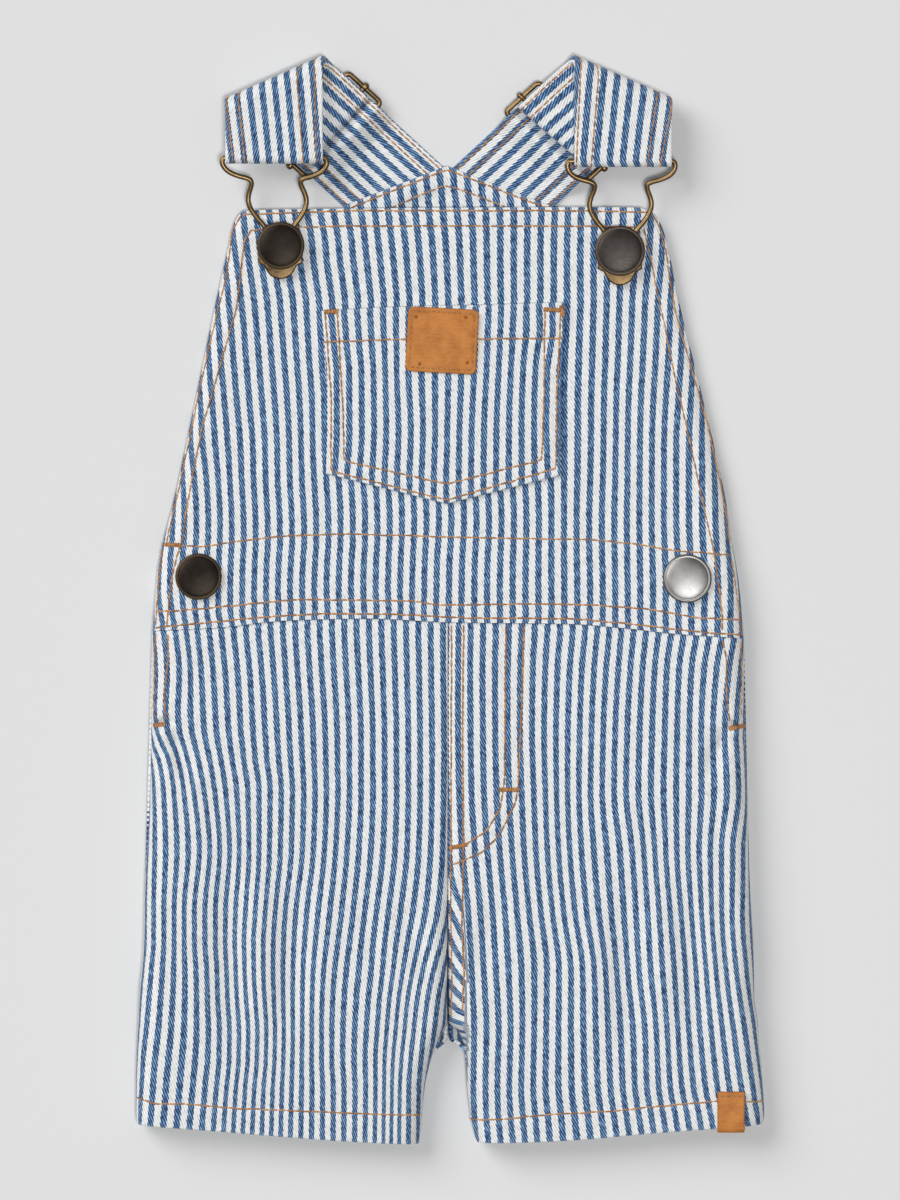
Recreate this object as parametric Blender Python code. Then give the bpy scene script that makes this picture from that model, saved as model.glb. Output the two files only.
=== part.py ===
"""Baby's striped shortalls, laid flat on their back with both straps folded over to the front.

All sizes are in millimetres until a mesh is made. +X is the wearer's left, +Y points to the straps,
+Z points up out of the front, and the origin is on the floor below the middle of the garment.
"""
import math
from collections import namedtuple

import bmesh
import bpy
import numpy as np
from mathutils import Vector

MM = 0.001

# Driving sizes
CLOTH = 1.2              # one panel with its seam allowances
GAP = 0.3                # between pieces that touch
SEAM_HEIGHT = 5.0        # side seams and inseams above the floor
STRAP_WIDTH = 36.0
STRAP_THICK = 1.2
LAYER = STRAP_THICK + 0.5    # from one strap layer's middle to the next
WIRE = 0.95              # radius of the clip and slider wire
BAR_WIRE = 0.92          # radius of the slider's centre bar
YOKE_TUCK = 3.5          # how far each strap runs in under the yoke
YOKE_LIFTED = (5.0, 10.0)    # below the yoke's edge: the back lies over the strap ends, then settles
LEATHER = 1.1
TAB_GAP = 0.45           # the tab stands a little clear of the round hem
SEAM_SETBACK = GAP * 0.65    # each piece stands this far back from a seam line that it shares
SIDE_ROLL = 8.0          # width of the round side of a leg
SLOPE_STEP = 0.5         # over which the slope of a panel is taken

Section = namedtuple("Section", "y left right top left_z right_z left_roll right_roll left_tip right_tip")
LegRow = namedtuple("LegRow", "y right_outer right_inner left_inner left_outer top seam_z roll tip")
BackRow = namedtuple("BackRow", "y right_outer right_inner left_inner left_outer seam_z roll tip")
Fold = namedtuple("Fold", "x0 y0 x1 y1 depth width")

# Each row is a section across the piece. top is the height of its flat middle, the z columns are
# the heights of its edges, roll is how wide the round edge is, and tip is how far, in degrees,
# the cloth has turned down at the edge.
BIB = [
    Section(145.6, -72.5, 70.0, 4.9, 4.4, 4.4, 4.0, 4.0, 20, 20),
    Section(143.6, -77.2, 74.9, 5.0, 4.3, 4.3, 5.0, 5.0, 22, 22),
    Section(139.0, -80.2, 78.3, 5.0, 4.0, 4.0, 6.0, 6.0, 26, 26),
    Section(130.0, -82.3, 80.9, 5.1, 3.7, 3.7, 7.0, 7.0, 32, 32),
    Section(111.0, -86.6, 84.8, 5.3, 3.4, 3.4, 8.0, 8.0, 38, 38),
    Section(74.0, -94.4, 93.9, 6.0, 3.3, 3.3, 8.0, 8.0, 46, 46),
    Section(37.0, -102.3, 102.2, 7.6, 3.6, 3.6, 8.0, 8.0, 60, 60),
    Section(20.7, -106.4, 104.6, 9.0, 4.3, 4.3, 8.0, 8.0, 75, 75),
    Section(10.0, -108.4, 106.5, 9.9, 4.8, 4.8, 8.0, 8.0, 85, 85),
    Section(-2.0, -109.4, 107.9, 10.6, 5.0, 5.0, 8.0, 8.0, 90, 90),
    Section(-15.0, -110.4, 109.1, 11.1, 5.0, 5.0, 8.0, 8.0, 90, 90),
]

LEGS = [
    LegRow(-6.0, -110.2, -0.85, -0.55, 108.8, 11.0, 10.6, 3.0, 12),
    LegRow(-44.0, -110.6, -0.85, -0.55, 109.1, 12.4, 11.7, 3.5, 16),
    LegRow(-75.0, -111.2, -0.85, -0.55, 110.2, 13.6, 12.3, 4.0, 22),
    LegRow(-105.0, -113.0, -0.85, -0.55, 111.1, 14.2, 12.0, 5.0, 32),
    LegRow(-130.0, -113.7, -0.85, -0.55, 112.5, 14.5, 9.8, 6.0, 48),
    LegRow(-147.0, -115.2, -0.85, -0.55, 112.7, 14.5, 6.8, 7.0, 65),
    LegRow(-156.0, -115.5, -0.85, -0.55, 113.9, 14.4, 5.0, 7.0, 78),
    LegRow(-160.0, -115.7, -2.6, 3.2, 114.2, 14.3, 5.0, 7.0, 84),
    LegRow(-165.0, -115.9, -5.0, 5.2, 114.6, 14.2, 5.0, 7.0, 90),
    LegRow(-171.0, -116.1, -7.2, 5.8, 115.2, 14.0, 5.0, 7.0, 90),
    LegRow(-180.0, -116.3, -9.3, 6.4, 116.0, 13.6, 5.0, 7.0, 90),
    LegRow(-190.0, -116.3, -10.4, 7.5, 116.4, 13.0, 5.0, 7.0, 90),
    LegRow(-197.0, -115.2, -10.9, 8.9, 114.6, 12.6, 5.0, 7.0, 90),
    LegRow(-202.0, -113.0, -11.6, 10.4, 112.0, 12.4, 5.0, 7.0, 90),
]

# The backs lie on the floor and turn up to the seams; under the crotch they rise in a small hill.
BACKS = [
    BackRow(-6.0, -110.2, -0.85, -0.55, 108.8, 0.0, 8.0, 8),
    BackRow(-105.0, -113.0, -0.85, -0.55, 111.1, 0.0, 8.0, 8),
    BackRow(-130.0, -113.7, -0.85, -0.55, 112.5, 0.6, 8.0, 15),
    BackRow(-147.0, -115.2, -0.85, -0.55, 112.7, 3.0, 8.0, 45),
    BackRow(-156.0, -115.5, -0.85, -0.55, 113.9, 4.2, 7.0, 62),
    BackRow(-160.0, -115.7, -1.0, 0.0, 114.2, 4.1, 7.0, 70),
    BackRow(-164.4, -115.9, -2.2, 3.3, 114.5, 3.9, 7.0, 80),
    BackRow(-168.0, -116.0, -6.2, 5.5, 114.9, 4.5, 7.0, 90),
    BackRow(-171.0, -116.1, -7.2, 5.8, 115.2, 4.7, 7.0, 90),
    BackRow(-180.0, -116.3, -9.3, 6.4, 116.0, 4.7, 7.0, 90),
    BackRow(-190.0, -116.3, -10.4, 7.5, 116.4, 4.7, 7.0, 90),
    BackRow(-197.0, -115.2, -10.9, 8.9, 114.6, 4.7, 7.0, 90),
    BackRow(-202.0, -113.0, -11.6, 10.4, 112.0, 4.7, 7.0, 90),
]

BACK_BIB = [
    Section(147.0, -38.0, 39.5, 0.0, 0.0, 0.0, 4.0, 4.0, 8, 8),
    Section(120.0, -45.0, 44.0, 0.0, 0.0, 0.0, 4.0, 4.0, 8, 8),
    Section(80.0, -62.0, 61.0, 0.0, 0.0, 0.0, 5.0, 5.0, 8, 8),
    Section(45.0, -86.0, 85.0, 0.0, 0.6, 0.6, 6.0, 6.0, 20, 20),
    Section(25.0, -100.0, 99.0, 0.0, 1.8, 1.8, 7.0, 7.0, 45, 45),
    Section(10.0, -107.9, 106.0, 0.0, 3.9, 3.9, 8.0, 8.0, 85, 85),
    Section(-2.0, -109.4, 107.9, 0.0, 4.5, 4.5, 8.0, 8.0, 90, 90),
    Section(-15.0, -110.4, 109.1, 0.0, 4.7, 4.7, 8.0, 8.0, 90, 90),
]

# Curves across the garment, as (x, y)
BIB_TOP = [(-80.0, 144.2), (-60.0, 144.8), (0.0, 145.4), (50.0, 145.6), (80.0, 145.4)]
WAIST_SEAM = [
    (-112.0, -11.6), (-86.0, -10.3), (-60.0, -7.6), (-30.0, -6.9),
    (0.0, -8.3), (44.0, -8.9), (64.0, -10.4), (84.0, -12.6), (112.0, -14.4),
]
RIGHT_HEM = [(-117.0, -194.1), (-89.0, -196.1), (-62.5, -198.3), (-36.0, -200.2), (-10.0, -201.4)]
LEFT_HEM = [(8.0, -200.8), (26.0, -200.5), (49.0, -199.4), (72.0, -197.3), (99.0, -195.3), (117.0, -194.0)]
YOKE_APEX = (-1.1, 161.0)
YOKE_SLOPE = 0.385

# The largest folds of the fronts: a negative depth is a trough
RIGHT_FOLDS = [
    Fold(-104.0, -46.0, -95.0, -70.0, -1.1, 3.0),
    Fold(-83.0, -85.0, -79.0, -172.0, -1.1, 6.0),
    Fold(-57.0, -98.0, -60.0, -168.0, -0.9, 6.0),
    Fold(-20.0, -108.0, -3.0, -146.0, -0.9, 4.5),
]
LEFT_FOLDS = [
    Fold(102.0, -46.0, 94.0, -68.0, -1.1, 3.0),
    Fold(62.0, -96.0, 69.0, -178.0, -1.0, 6.0),
    Fold(88.0, -100.0, 92.0, -172.0, -0.8, 5.0),
    Fold(19.0, -104.0, 8.0, -150.0, -0.7, 4.5),
]

BIB_ROWS = [0.0, 0.012, 0.04, 0.1, 0.18, 0.27, 0.36, 0.45, 0.54, 0.63, 0.71, 0.78, 0.84, 0.89, 0.94, 1.0]
LEG_ROWS = [
    0.0, 0.09, 0.18, 0.23, 0.30, 0.38, 0.46, 0.54, 0.61, 0.67, 0.72, 0.765,
    0.785, 0.81, 0.84, 0.88, 0.92, 0.96, 0.985, 1.0,
]
BACK_ROWS = [0.0, 0.25, 0.5, 0.62, 0.70, 0.74, 0.765, 0.785, 0.81, 0.84, 0.89, 0.94, 1.0]
BACK_BIB_ROWS = [0.0, 0.026, 0.045, 0.068, 0.13, 0.23, 0.36, 0.5, 0.66, 0.78, 0.87, 0.94, 1.0]
ROLL_ANGLES = [0.0, 0.3, 0.6, 1.0]


def table_value(rows, key, y):
    """A column of a table at height y, along a smooth curve through its rows."""
    rows = sorted(rows, key=lambda row: row.y)
    return smooth_curve([(row.y, getattr(row, key)) for row in rows], y)


def smooth_curve(points, x):
    """The value at x of a smooth curve through the points, with no overshoot between them."""
    xs = [p[0] for p in points]
    vs = [p[1] for p in points]
    if x <= xs[0]:
        return vs[0]
    if x >= xs[-1]:
        return vs[-1]
    slopes = [(vs[i + 1] - vs[i]) / (xs[i + 1] - xs[i]) for i in range(len(xs) - 1)]
    tangents = [slopes[0]]
    for before, after in zip(slopes, slopes[1:]):
        same_way = before * after > 0
        tangents.append(2 * before * after / (before + after) if same_way else 0.0)
    tangents.append(slopes[-1])
    i = int(np.searchsorted(xs, x)) - 1
    span = xs[i + 1] - xs[i]
    t = (x - xs[i]) / span
    return (
        vs[i] * (1 + 2 * t) * (1 - t) ** 2
        + vs[i + 1] * t * t * (3 - 2 * t)
        + span * (tangents[i] * t * (1 - t) ** 2 - tangents[i + 1] * t * t * (1 - t))
    )


def smoothstep(t):
    t = min(max(t, 0.0), 1.0)
    return t * t * (3 - 2 * t)


def fold_height(folds, x, y):
    """The sum of the folds at a point: each is soft across and fades at its ends."""
    total = 0.0
    for fold in folds:
        dx = fold.x1 - fold.x0
        dy = fold.y1 - fold.y0
        length = math.hypot(dx, dy)
        along = ((x - fold.x0) * dx + (y - fold.y0) * dy) / length
        across = ((x - fold.x0) * dy - (y - fold.y0) * dx) / length
        end = smoothstep(along / (0.35 * length)) * smoothstep((length - along) / (0.35 * length))
        total += fold.depth * end * math.exp(-((across / fold.width) ** 2))
    return total


class Panel:
    """A laid-out piece of cloth: its outline, and the height of its outer face above the floor."""

    def __init__(self, sections, upper, lower, folds=(), lift=None):
        self.sections = sections
        self.upper = upper
        self.lower = lower
        self.folds = folds
        self.lift = lift

    def value(self, key, y):
        return table_value(self.sections, key, y)

    def edge_curve(self, y, side):
        """Where an edge is, how wide its roll is, its height and the cosine of its start angle."""
        start = math.radians(90 - self.value(side + "_tip", y))
        return self.value(side, y), self.value(side + "_roll", y), self.value(side + "_z", y), start

    def height(self, x, y):
        left, left_roll, left_z, left_start = self.edge_curve(y, "left")
        right, right_roll, right_z, right_start = self.edge_curve(y, "right")
        top = self.value("top", y)
        fade = min(smoothstep((x - left) / left_roll), smoothstep((right - x) / right_roll))
        z = top + fold_height(self.folds, x, y) * fade
        for depth, roll, edge_z, start in (
            (x - left, left_roll, left_z, left_start),
            (right - x, right_roll, right_z, right_start),
        ):
            if depth < roll:
                turned = math.acos(math.cos(start) * (1 - max(depth, 0.0) / roll)) if start < 1.57 else start
                rise = (math.sin(turned) - math.sin(start)) / (1 - math.sin(start))
                z += (edge_z - top) * (1 - rise)
        if self.lift:
            z += self.lift(x, y)
        return z

    def columns(self, y, middle):
        """The x positions across a row: close together on the round edges, even between them."""
        left, left_roll, _, left_start = self.edge_curve(y, "left")
        right, right_roll, _, right_start = self.edge_curve(y, "right")

        def offset(share, roll, start):
            angle = start + share * (math.pi / 2 - start)
            return roll * (math.cos(start) - math.cos(angle)) / math.cos(start)

        xs = [left + offset(share, left_roll, left_start) for share in ROLL_ANGLES]
        ends = [right - offset(share, right_roll, right_start) for share in reversed(ROLL_ANGLES)]
        inner = np.linspace(xs[-1], ends[0], middle + 2)[1:-1]
        return xs + list(inner) + ends

    def grid(self, rows, middle):
        """Points of the outer face, row by row from the upper curve to the lower one."""
        points = []
        for share in rows:
            y_mid = self.upper(0.0) * (1 - share) + self.lower(0.0) * share
            xs = self.columns(y_mid, middle)
            ys = [y_mid] * len(xs)
            for _ in range(2):
                ys = [self.upper(x) * (1 - share) + self.lower(x) * share for x in xs]
                xs = [self.columns(y, middle)[i] for i, y in enumerate(ys)]
            points.append([(x, y, self.height(x, y)) for x, y in zip(xs, ys)])
        return np.array(points)


def curve(points, shift=0.0):
    return lambda x: smooth_curve(points, x) + shift


def yoke_edge(x):
    return YOKE_APEX[1] - YOKE_SLOPE * abs(x - YOKE_APEX[0])


def yoke_lift(x, y):
    """The yoke lies over the ends of the straps."""
    near, far = YOKE_LIFTED
    below = yoke_edge(x) - y
    return (STRAP_THICK + GAP) * smoothstep((far - below) / (far - near))


def front_sections(rows, side):
    """The sections of one front leg, from the table of both."""
    sections = []
    for row in rows:
        if side == "right":
            sections.append(Section(
                row.y, row.right_outer, row.right_inner, row.top,
                SEAM_HEIGHT, row.seam_z, SIDE_ROLL, row.roll, 90, row.tip,
            ))
        else:
            sections.append(Section(
                row.y, row.left_inner, row.left_outer, row.top,
                row.seam_z, SEAM_HEIGHT, row.roll, SIDE_ROLL, row.tip, 90,
            ))
    return sections


def back_sections(rows, side):
    """The sections of one back leg, whose middle lies on the floor."""
    edge = SEAM_HEIGHT - GAP
    sections = []
    for row in rows:
        if side == "right":
            sections.append(Section(
                row.y, row.right_outer, row.right_inner, 0.0,
                edge, row.seam_z, SIDE_ROLL, row.roll, 90, row.tip,
            ))
        else:
            sections.append(Section(
                row.y, row.left_inner, row.left_outer, 0.0,
                row.seam_z, edge, row.roll, SIDE_ROLL, row.tip, 90,
            ))
    return sections


def material(name, color, roughness, metallic=0.0):
    made = bpy.data.materials.new(name)
    made.use_nodes = True
    shader = made.node_tree.nodes["Principled BSDF"]
    shader.inputs["Base Color"].default_value = (*color, 1.0)
    shader.inputs["Roughness"].default_value = roughness
    shader.inputs["Metallic"].default_value = metallic
    made.diffuse_color = (*color, 1.0)
    return made


def add_object(name, bm, color, roughness, metallic=0.0):
    """A finished piece: its faces point out, it has its own material, and it is in metres."""
    bmesh.ops.recalc_face_normals(bm, faces=bm.faces)
    bmesh.ops.scale(bm, vec=(MM, MM, MM), verts=bm.verts)
    mesh = bpy.data.meshes.new(name)
    bm.to_mesh(mesh)
    bm.free()
    mesh.shade_smooth()
    mesh.set_sharp_from_angle(angle=math.radians(50))
    piece = bpy.data.objects.new(name, mesh)
    piece.data.materials.append(material(name + "_finish", color, roughness, metallic))
    bpy.context.scene.collection.objects.link(piece)
    return piece


def grid_normals(points, up):
    """A unit normal at each point of a grid, on the side that up says."""
    down = np.gradient(points, axis=0, edge_order=2)
    across = np.gradient(points, axis=1, edge_order=2)
    normals = np.cross(down, across)
    normals /= np.linalg.norm(normals, axis=2, keepdims=True)
    middle = normals[normals.shape[0] // 2, normals.shape[1] // 2]
    return normals if middle[2] * up > 0 else -normals


def wall_between(name, outer, inner, color, roughness):
    """A closed wall of cloth between two grids of points."""
    bm = bmesh.new()
    rows, cols = outer.shape[:2]
    sheets = [[[bm.verts.new(p) for p in row] for row in sheet] for sheet in (outer, inner)]
    for front, flip in ((sheets[0], False), (sheets[1], True)):
        for i in range(rows - 1):
            for j in range(cols - 1):
                corners = [front[i][j], front[i + 1][j], front[i + 1][j + 1], front[i][j + 1]]
                bm.faces.new(corners[::-1] if flip else corners)
    rim = [(0, j) for j in range(cols)] + [(i, cols - 1) for i in range(1, rows)]
    rim += [(rows - 1, j) for j in range(cols - 2, -1, -1)] + [(i, 0) for i in range(rows - 2, 0, -1)]
    for (i, j), (k, m) in zip(rim, rim[1:] + rim[:1]):
        bm.faces.new((sheets[0][i][j], sheets[0][k][m], sheets[1][k][m], sheets[1][i][j]))
    return add_object(name, bm, color, roughness)


def panel_wall(name, panel, rows, middle, up, thick=CLOTH):
    points = panel.grid(rows, middle)
    inner = points - grid_normals(points, up) * thick
    return wall_between(name, points, inner, DENIM, 0.85)


def panel_normal(panel, x, y, step):
    """The unit vector square to a panel's face, over twice the step."""
    slope_x = (panel.height(x + step, y) - panel.height(x - step, y)) / (2 * step)
    slope_y = (panel.height(x, y + step) - panel.height(x, y - step)) / (2 * step)
    normal = np.array((-slope_x, -slope_y, 1.0))
    return normal / np.linalg.norm(normal)


def on_panel(panel, points, rise, thick):
    """Two grids that follow a panel's face: rise above it, and thick above that."""
    lower, upper = [], []
    for row in points:
        below, above = [], []
        for x, y in row:
            normal = panel_normal(panel, x, y, SLOPE_STEP)
            base = np.array((x, y, panel.height(x, y)))
            below.append(base + normal * rise)
            above.append(base + normal * (rise + thick))
        lower.append(below)
        upper.append(above)
    return np.array(lower), np.array(upper)


DENIM = (0.23, 0.36, 0.55)
TAN = (0.52, 0.23, 0.07)
BRASS = (0.30, 0.21, 0.10)
DARK_METAL = (0.06, 0.05, 0.045)
SILVER = (0.40, 0.39, 0.38)

# Chest pocket, as the real sizes of its outline on the bib
POCKET_LEFT = [(36.0, -46.0), (76.0, -45.6), (108.0, -47.7)]
POCKET_RIGHT = [(36.0, 40.8), (76.0, 41.2), (112.0, 42.8)]
POCKET_TOP = [(-48.0, 107.0), (-20.0, 108.6), (20.0, 109.6), (43.0, 110.4)]
POCKET_TIP = (-1.1, 35.6)
POCKET_SLOPE = 0.25
POCKET_THICK = 1.1
POCKET_PUFF = 0.7        # how far its middle stands off the bib
POCKET_ACROSS = [-1.0, -0.93, -0.6, -0.3, 0.0, 0.3, 0.6, 0.93, 1.0]
POCKET_DOWN = [0.0, 0.05, 0.2, 0.4, 0.6, 0.8, 0.94, 1.0]


def pocket_bottom(x):
    return POCKET_TIP[1] + POCKET_SLOPE * abs(x - POCKET_TIP[0])


def pocket_point(u, v):
    """A point of the pocket: u runs across it from -1 to 1, v down it from 0 to 1."""
    x = 0.5 * (1 + u) * POCKET_RIGHT[1][1] + 0.5 * (1 - u) * POCKET_LEFT[1][1]
    for _ in range(3):
        y = smooth_curve(POCKET_TOP, x) * (1 - v) + pocket_bottom(x) * v
        left = smooth_curve(POCKET_LEFT, y)
        right = smooth_curve(POCKET_RIGHT, y)
        side = right - POCKET_TIP[0] if u > 0 else POCKET_TIP[0] - left
        x = POCKET_TIP[0] + side * u
    return x, y


def pocket_puff(u, v):
    """Nothing at the sewn sides and the point, most a little above the middle."""
    return max(POCKET_PUFF * (1 - u * u) * (1 - abs(2 * v - 0.9) ** 3), 0.0) if v < 0.95 else 0.0


def chest_pocket(bib):
    points = [[pocket_point(u, v) for u in POCKET_ACROSS] for v in POCKET_DOWN]
    lower, upper = on_panel(bib, points, GAP, POCKET_THICK)
    puff = np.array([[pocket_puff(u, v) for u in POCKET_ACROSS] for v in POCKET_DOWN])
    lower[:, :, 2] += puff
    upper[:, :, 2] += puff
    return wall_between("chest_pocket", upper, lower, DENIM, 0.85)


# Leather patch: its middle on the pocket, its size and its corner radius
PATCH_CENTRE = (-2.9, 96.0)
PATCH_SIZE = (26.2, 24.0)
PATCH_CORNER = 2.2
PATCH_TURN = -3.0
PATCH_RISE = 2.35


def pocket_patch(bib):
    """A flat leather square with rounded corners, lying on the pocket."""
    half_x, half_y = PATCH_SIZE[0] / 2, PATCH_SIZE[1] / 2
    turn = math.radians(PATCH_TURN)
    outline = []
    for corner, (sx, sy) in enumerate(((1, 1), (-1, 1), (-1, -1), (1, -1))):
        for k in range(5):
            angle = math.radians(90 * corner + 22.5 * k)
            x = sx * (half_x - PATCH_CORNER) + PATCH_CORNER * math.cos(angle)
            y = sy * (half_y - PATCH_CORNER) + PATCH_CORNER * math.sin(angle)
            outline.append((
                PATCH_CENTRE[0] + x * math.cos(turn) - y * math.sin(turn),
                PATCH_CENTRE[1] + x * math.sin(turn) + y * math.cos(turn),
            ))
    base = max(bib.height(x, y) for x, y in outline) + PATCH_RISE
    bm = bmesh.new()
    ring = [bm.verts.new((x, y, base)) for x, y in outline]
    top = [bm.verts.new((x, y, base + LEATHER)) for x, y in outline]
    bm.faces.new(ring)
    bm.faces.new(top[::-1])
    for i in range(len(ring)):
        k = (i + 1) % len(ring)
        bm.faces.new((ring[i], ring[k], top[k], top[i]))
    return add_object("pocket_patch", bm, TAN, 0.6)


def belt(stops, step=math.radians(30)):
    """Points of a line drawn tight over circles; turn is 1 where it bends left and -1 where right."""
    points = [stops[0][:2]]
    headings = []
    for (x0, z0, r0, t0), (x1, z1, r1, t1) in zip(stops, stops[1:]):
        dx, dz = x1 - x0, z1 - z0
        headings.append(math.atan2(dz, dx) - math.asin((t1 * r1 - t0 * r0) / math.hypot(dx, dz)))
    for (x, z, radius, turn), arriving, leaving in zip(stops[1:], headings, headings[1:]):
        bend = leaving - arriving
        while bend * turn < -1e-9:
            bend += turn * 2 * math.pi
        count = max(1, math.ceil(abs(bend) / step))
        for k in range(count + 1):
            heading = arriving + bend * k / count
            points.append((x + turn * radius * math.sin(heading), z - turn * radius * math.cos(heading)))
    points.append(stops[-1][:2])
    return points


# Where the strap's fold shows, the way its back part runs from there to the yoke, the height of
# the clip's bar, how far along the back part the slider sits, and how much that grows outwards
StrapPlan = namedtuple("StrapPlan", "side fold_x fold_y back_x back_y bar_y slider slant")
RIGHT_STRAP = StrapPlan("right", -65.0, 193.7, 0.737, -0.676, 163.7, 26.8, 0.02)
LEFT_STRAP = StrapPlan("left", 63.95, 193.9, -0.735, -0.678, 162.5, 30.3, 0.115)

# Along the back part, from the slider's middle: its bars and the turned end of the strap
SLIDER_HALF = 8.3
END_TURN = 1.5
SLIDER_LENGTH = 41.0
SLIDER_CORNER = 1.5
SLIDER_SHIFT = 0.2       # of the whole frame, across the strap
BAR_PROUD = 1.6          # how far the centre bar's ends pass the frame's middle line
RAMP = 16.0              # from the slider's middle to where the strap leaves the floor
PAST_BAR = 4.0           # from the bar next to the fold to where the strap turns to its fold
CLIP_BAR_Z = 10.5
FOLD_START_Z = 3.0
FOLD_RADIUS = 4.6
ROUND_WIRE = WIRE + GAP + STRAP_THICK / 2
UNDER_END = ROUND_WIRE + STRAP_THICK + GAP
SLIDER_Z = STRAP_THICK / 2 + UNDER_END


class StrapFrame:
    """Places on one strap: along its front part, along its back part, and round its fold."""

    def __init__(self, plan):
        turn = 1.0 if plan.side == "right" else -1.0
        self.fold = np.array((plan.fold_x, plan.fold_y))
        self.back = np.array((plan.back_x, plan.back_y))
        self.back /= np.linalg.norm(self.back)
        self.back_across = turn * np.array((-self.back[1], self.back[0]))
        self.front = np.array((0.0, -1.0))
        self.front_across = np.array((turn, 0.0))
        line = self.back - self.front
        self.line = line / np.linalg.norm(line)
        inward = np.array((self.line[1], -self.line[0]))
        self.inward = inward if inward[1] < 0 else -inward
        self.depth = FOLD_RADIUS + STRAP_THICK / 2
        self.slider = plan.slider
        self.slant = plan.slant

    def on_back(self, along, across, z):
        return (*(self.fold + along * self.back + across * self.back_across), z)

    def at_slider(self, along, across, z):
        return self.on_back(self.slider + along + self.slant * across, across, z)

    def on_front(self, along, across, z):
        return (*(self.fold + along * self.front + across * self.front_across), z)

    def round_fold(self, angle, across, radius):
        """A point of the bend: angle runs from -90 degrees at the back to 90 at the front."""
        lean = self.line @ self.back
        wide = self.line @ self.back_across
        start = (across + lean * self.depth) / wide
        end = (across - lean * self.depth) / wide
        share = 0.5 + angle / math.pi
        plan = self.fold + (start * (1 - share) + end * share) * self.line
        plan = plan + (self.depth - radius * math.cos(angle)) * self.inward
        return (*plan, FOLD_START_Z + FOLD_RADIUS + radius * math.sin(angle))


def yoke_meeting(frame, across, tuck):
    """How far along the back part an edge of the strap ends, under the yoke and short of the other strap."""
    low, high = 20.0, 90.0
    outward = math.copysign(1.0, frame.fold[0])
    for _ in range(40):
        mid = (low + high) / 2
        x, y, _ = frame.on_back(mid, across, 0.0)
        if y > yoke_edge(x) - tuck and x * outward > GAP:
            low = mid
        else:
            high = mid
    return low


def strap_middle(plan):
    """The middle face of the strap as stations of points across it, from the yoke to its end."""
    frame = StrapFrame(plan)
    half = STRAP_WIDTH / 2
    places = [-half, -half * 0.4, half * 0.4, half]
    floor = STRAP_THICK / 2
    stations = [[frame.on_back(yoke_meeting(frame, w, YOKE_TUCK), w, floor) for w in places]]

    running = belt([
        (RAMP, floor, 0.0, 1),
        (SLIDER_HALF, SLIDER_Z, ROUND_WIRE, 1),
        (END_TURN, SLIDER_Z, UNDER_END, -1),
        (0.0, SLIDER_Z, UNDER_END, -1),
        (-SLIDER_HALF, SLIDER_Z, ROUND_WIRE, 1),
        (-SLIDER_HALF - PAST_BAR, SLIDER_Z + ROUND_WIRE - 0.5, 0.0, 1),
    ])
    stations += [[frame.at_slider(t, w, z) for w in places] for t, z in running[:-1]]

    angles = [math.radians(a) for a in (-90, -60, -30, 0, 30, 60, 90)]
    stations += [[frame.round_fold(a, w, FOLD_RADIUS) for w in places] for a in angles]

    bar_along = frame.fold[1] - plan.bar_y
    for k in range(7):
        angle = math.radians(90 - 30 * k)
        along = bar_along + ROUND_WIRE * math.cos(angle)
        z = CLIP_BAR_Z + ROUND_WIRE * math.sin(angle)
        stations.append([frame.on_front(along, w, z) for w in places])

    inner = FOLD_RADIUS - LAYER
    stations += [[frame.round_fold(a, w, inner) for w in places] for a in reversed(angles)]

    upper = belt([
        (-SLIDER_HALF - PAST_BAR, SLIDER_Z + ROUND_WIRE, 0.0, -1),
        (-SLIDER_HALF, SLIDER_Z, ROUND_WIRE + LAYER, -1),
        (0.0, SLIDER_Z, ROUND_WIRE, -1),
        (END_TURN, SLIDER_Z, ROUND_WIRE, -1),
        (-1.0, SLIDER_Z - ROUND_WIRE, 0.0, -1),
    ])
    stations += [[frame.at_slider(t, w, z) for w in places] for t, z in upper[1:]]
    return np.array(stations)


def drop_repeats(stations):
    """The stations without those that lie on the one before."""
    kept = [stations[0]]
    for station in stations[1:]:
        if np.abs(station - kept[-1]).max() > 0.05:
            kept.append(station)
    return np.array(kept)


def ribbon_normals(points):
    down = np.gradient(points, axis=0, edge_order=2)
    across = np.gradient(points, axis=1, edge_order=2)
    normals = np.cross(down, across)
    return normals / np.linalg.norm(normals, axis=2, keepdims=True)


def strap(plan):
    middle = drop_repeats(strap_middle(plan))
    normals = ribbon_normals(middle)
    half = STRAP_THICK / 2
    return wall_between("strap_" + plan.side, middle + normals * half, middle - normals * half, DENIM, 0.85)


def tube(bm, points, radius, sides, closed):
    """A round wire along points in nearly level planes, closed on itself or capped."""
    path = [Vector(p) for p in points]
    count = len(path)
    rings = []
    for i, point in enumerate(path):
        before = path[i - 1] if closed or i > 0 else path[i]
        after = path[(i + 1) % count] if closed or i < count - 1 else path[i]
        along = (after - before).normalized()
        sideways = along.cross(Vector((0, 0, 1))).normalized()
        upward = sideways.cross(along)
        ring = []
        for k in range(sides):
            angle = 2 * math.pi * k / sides
            ring.append(bm.verts.new(point + (sideways * math.cos(angle) + upward * math.sin(angle)) * radius))
        rings.append(ring)
    for i in range(count if closed else count - 1):
        first, second = rings[i], rings[(i + 1) % count]
        for k in range(sides):
            m = (k + 1) % sides
            bm.faces.new((first[k], first[m], second[m], second[k]))
    if not closed:
        bm.faces.new(rings[0])
        bm.faces.new(rings[-1][::-1])


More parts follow.
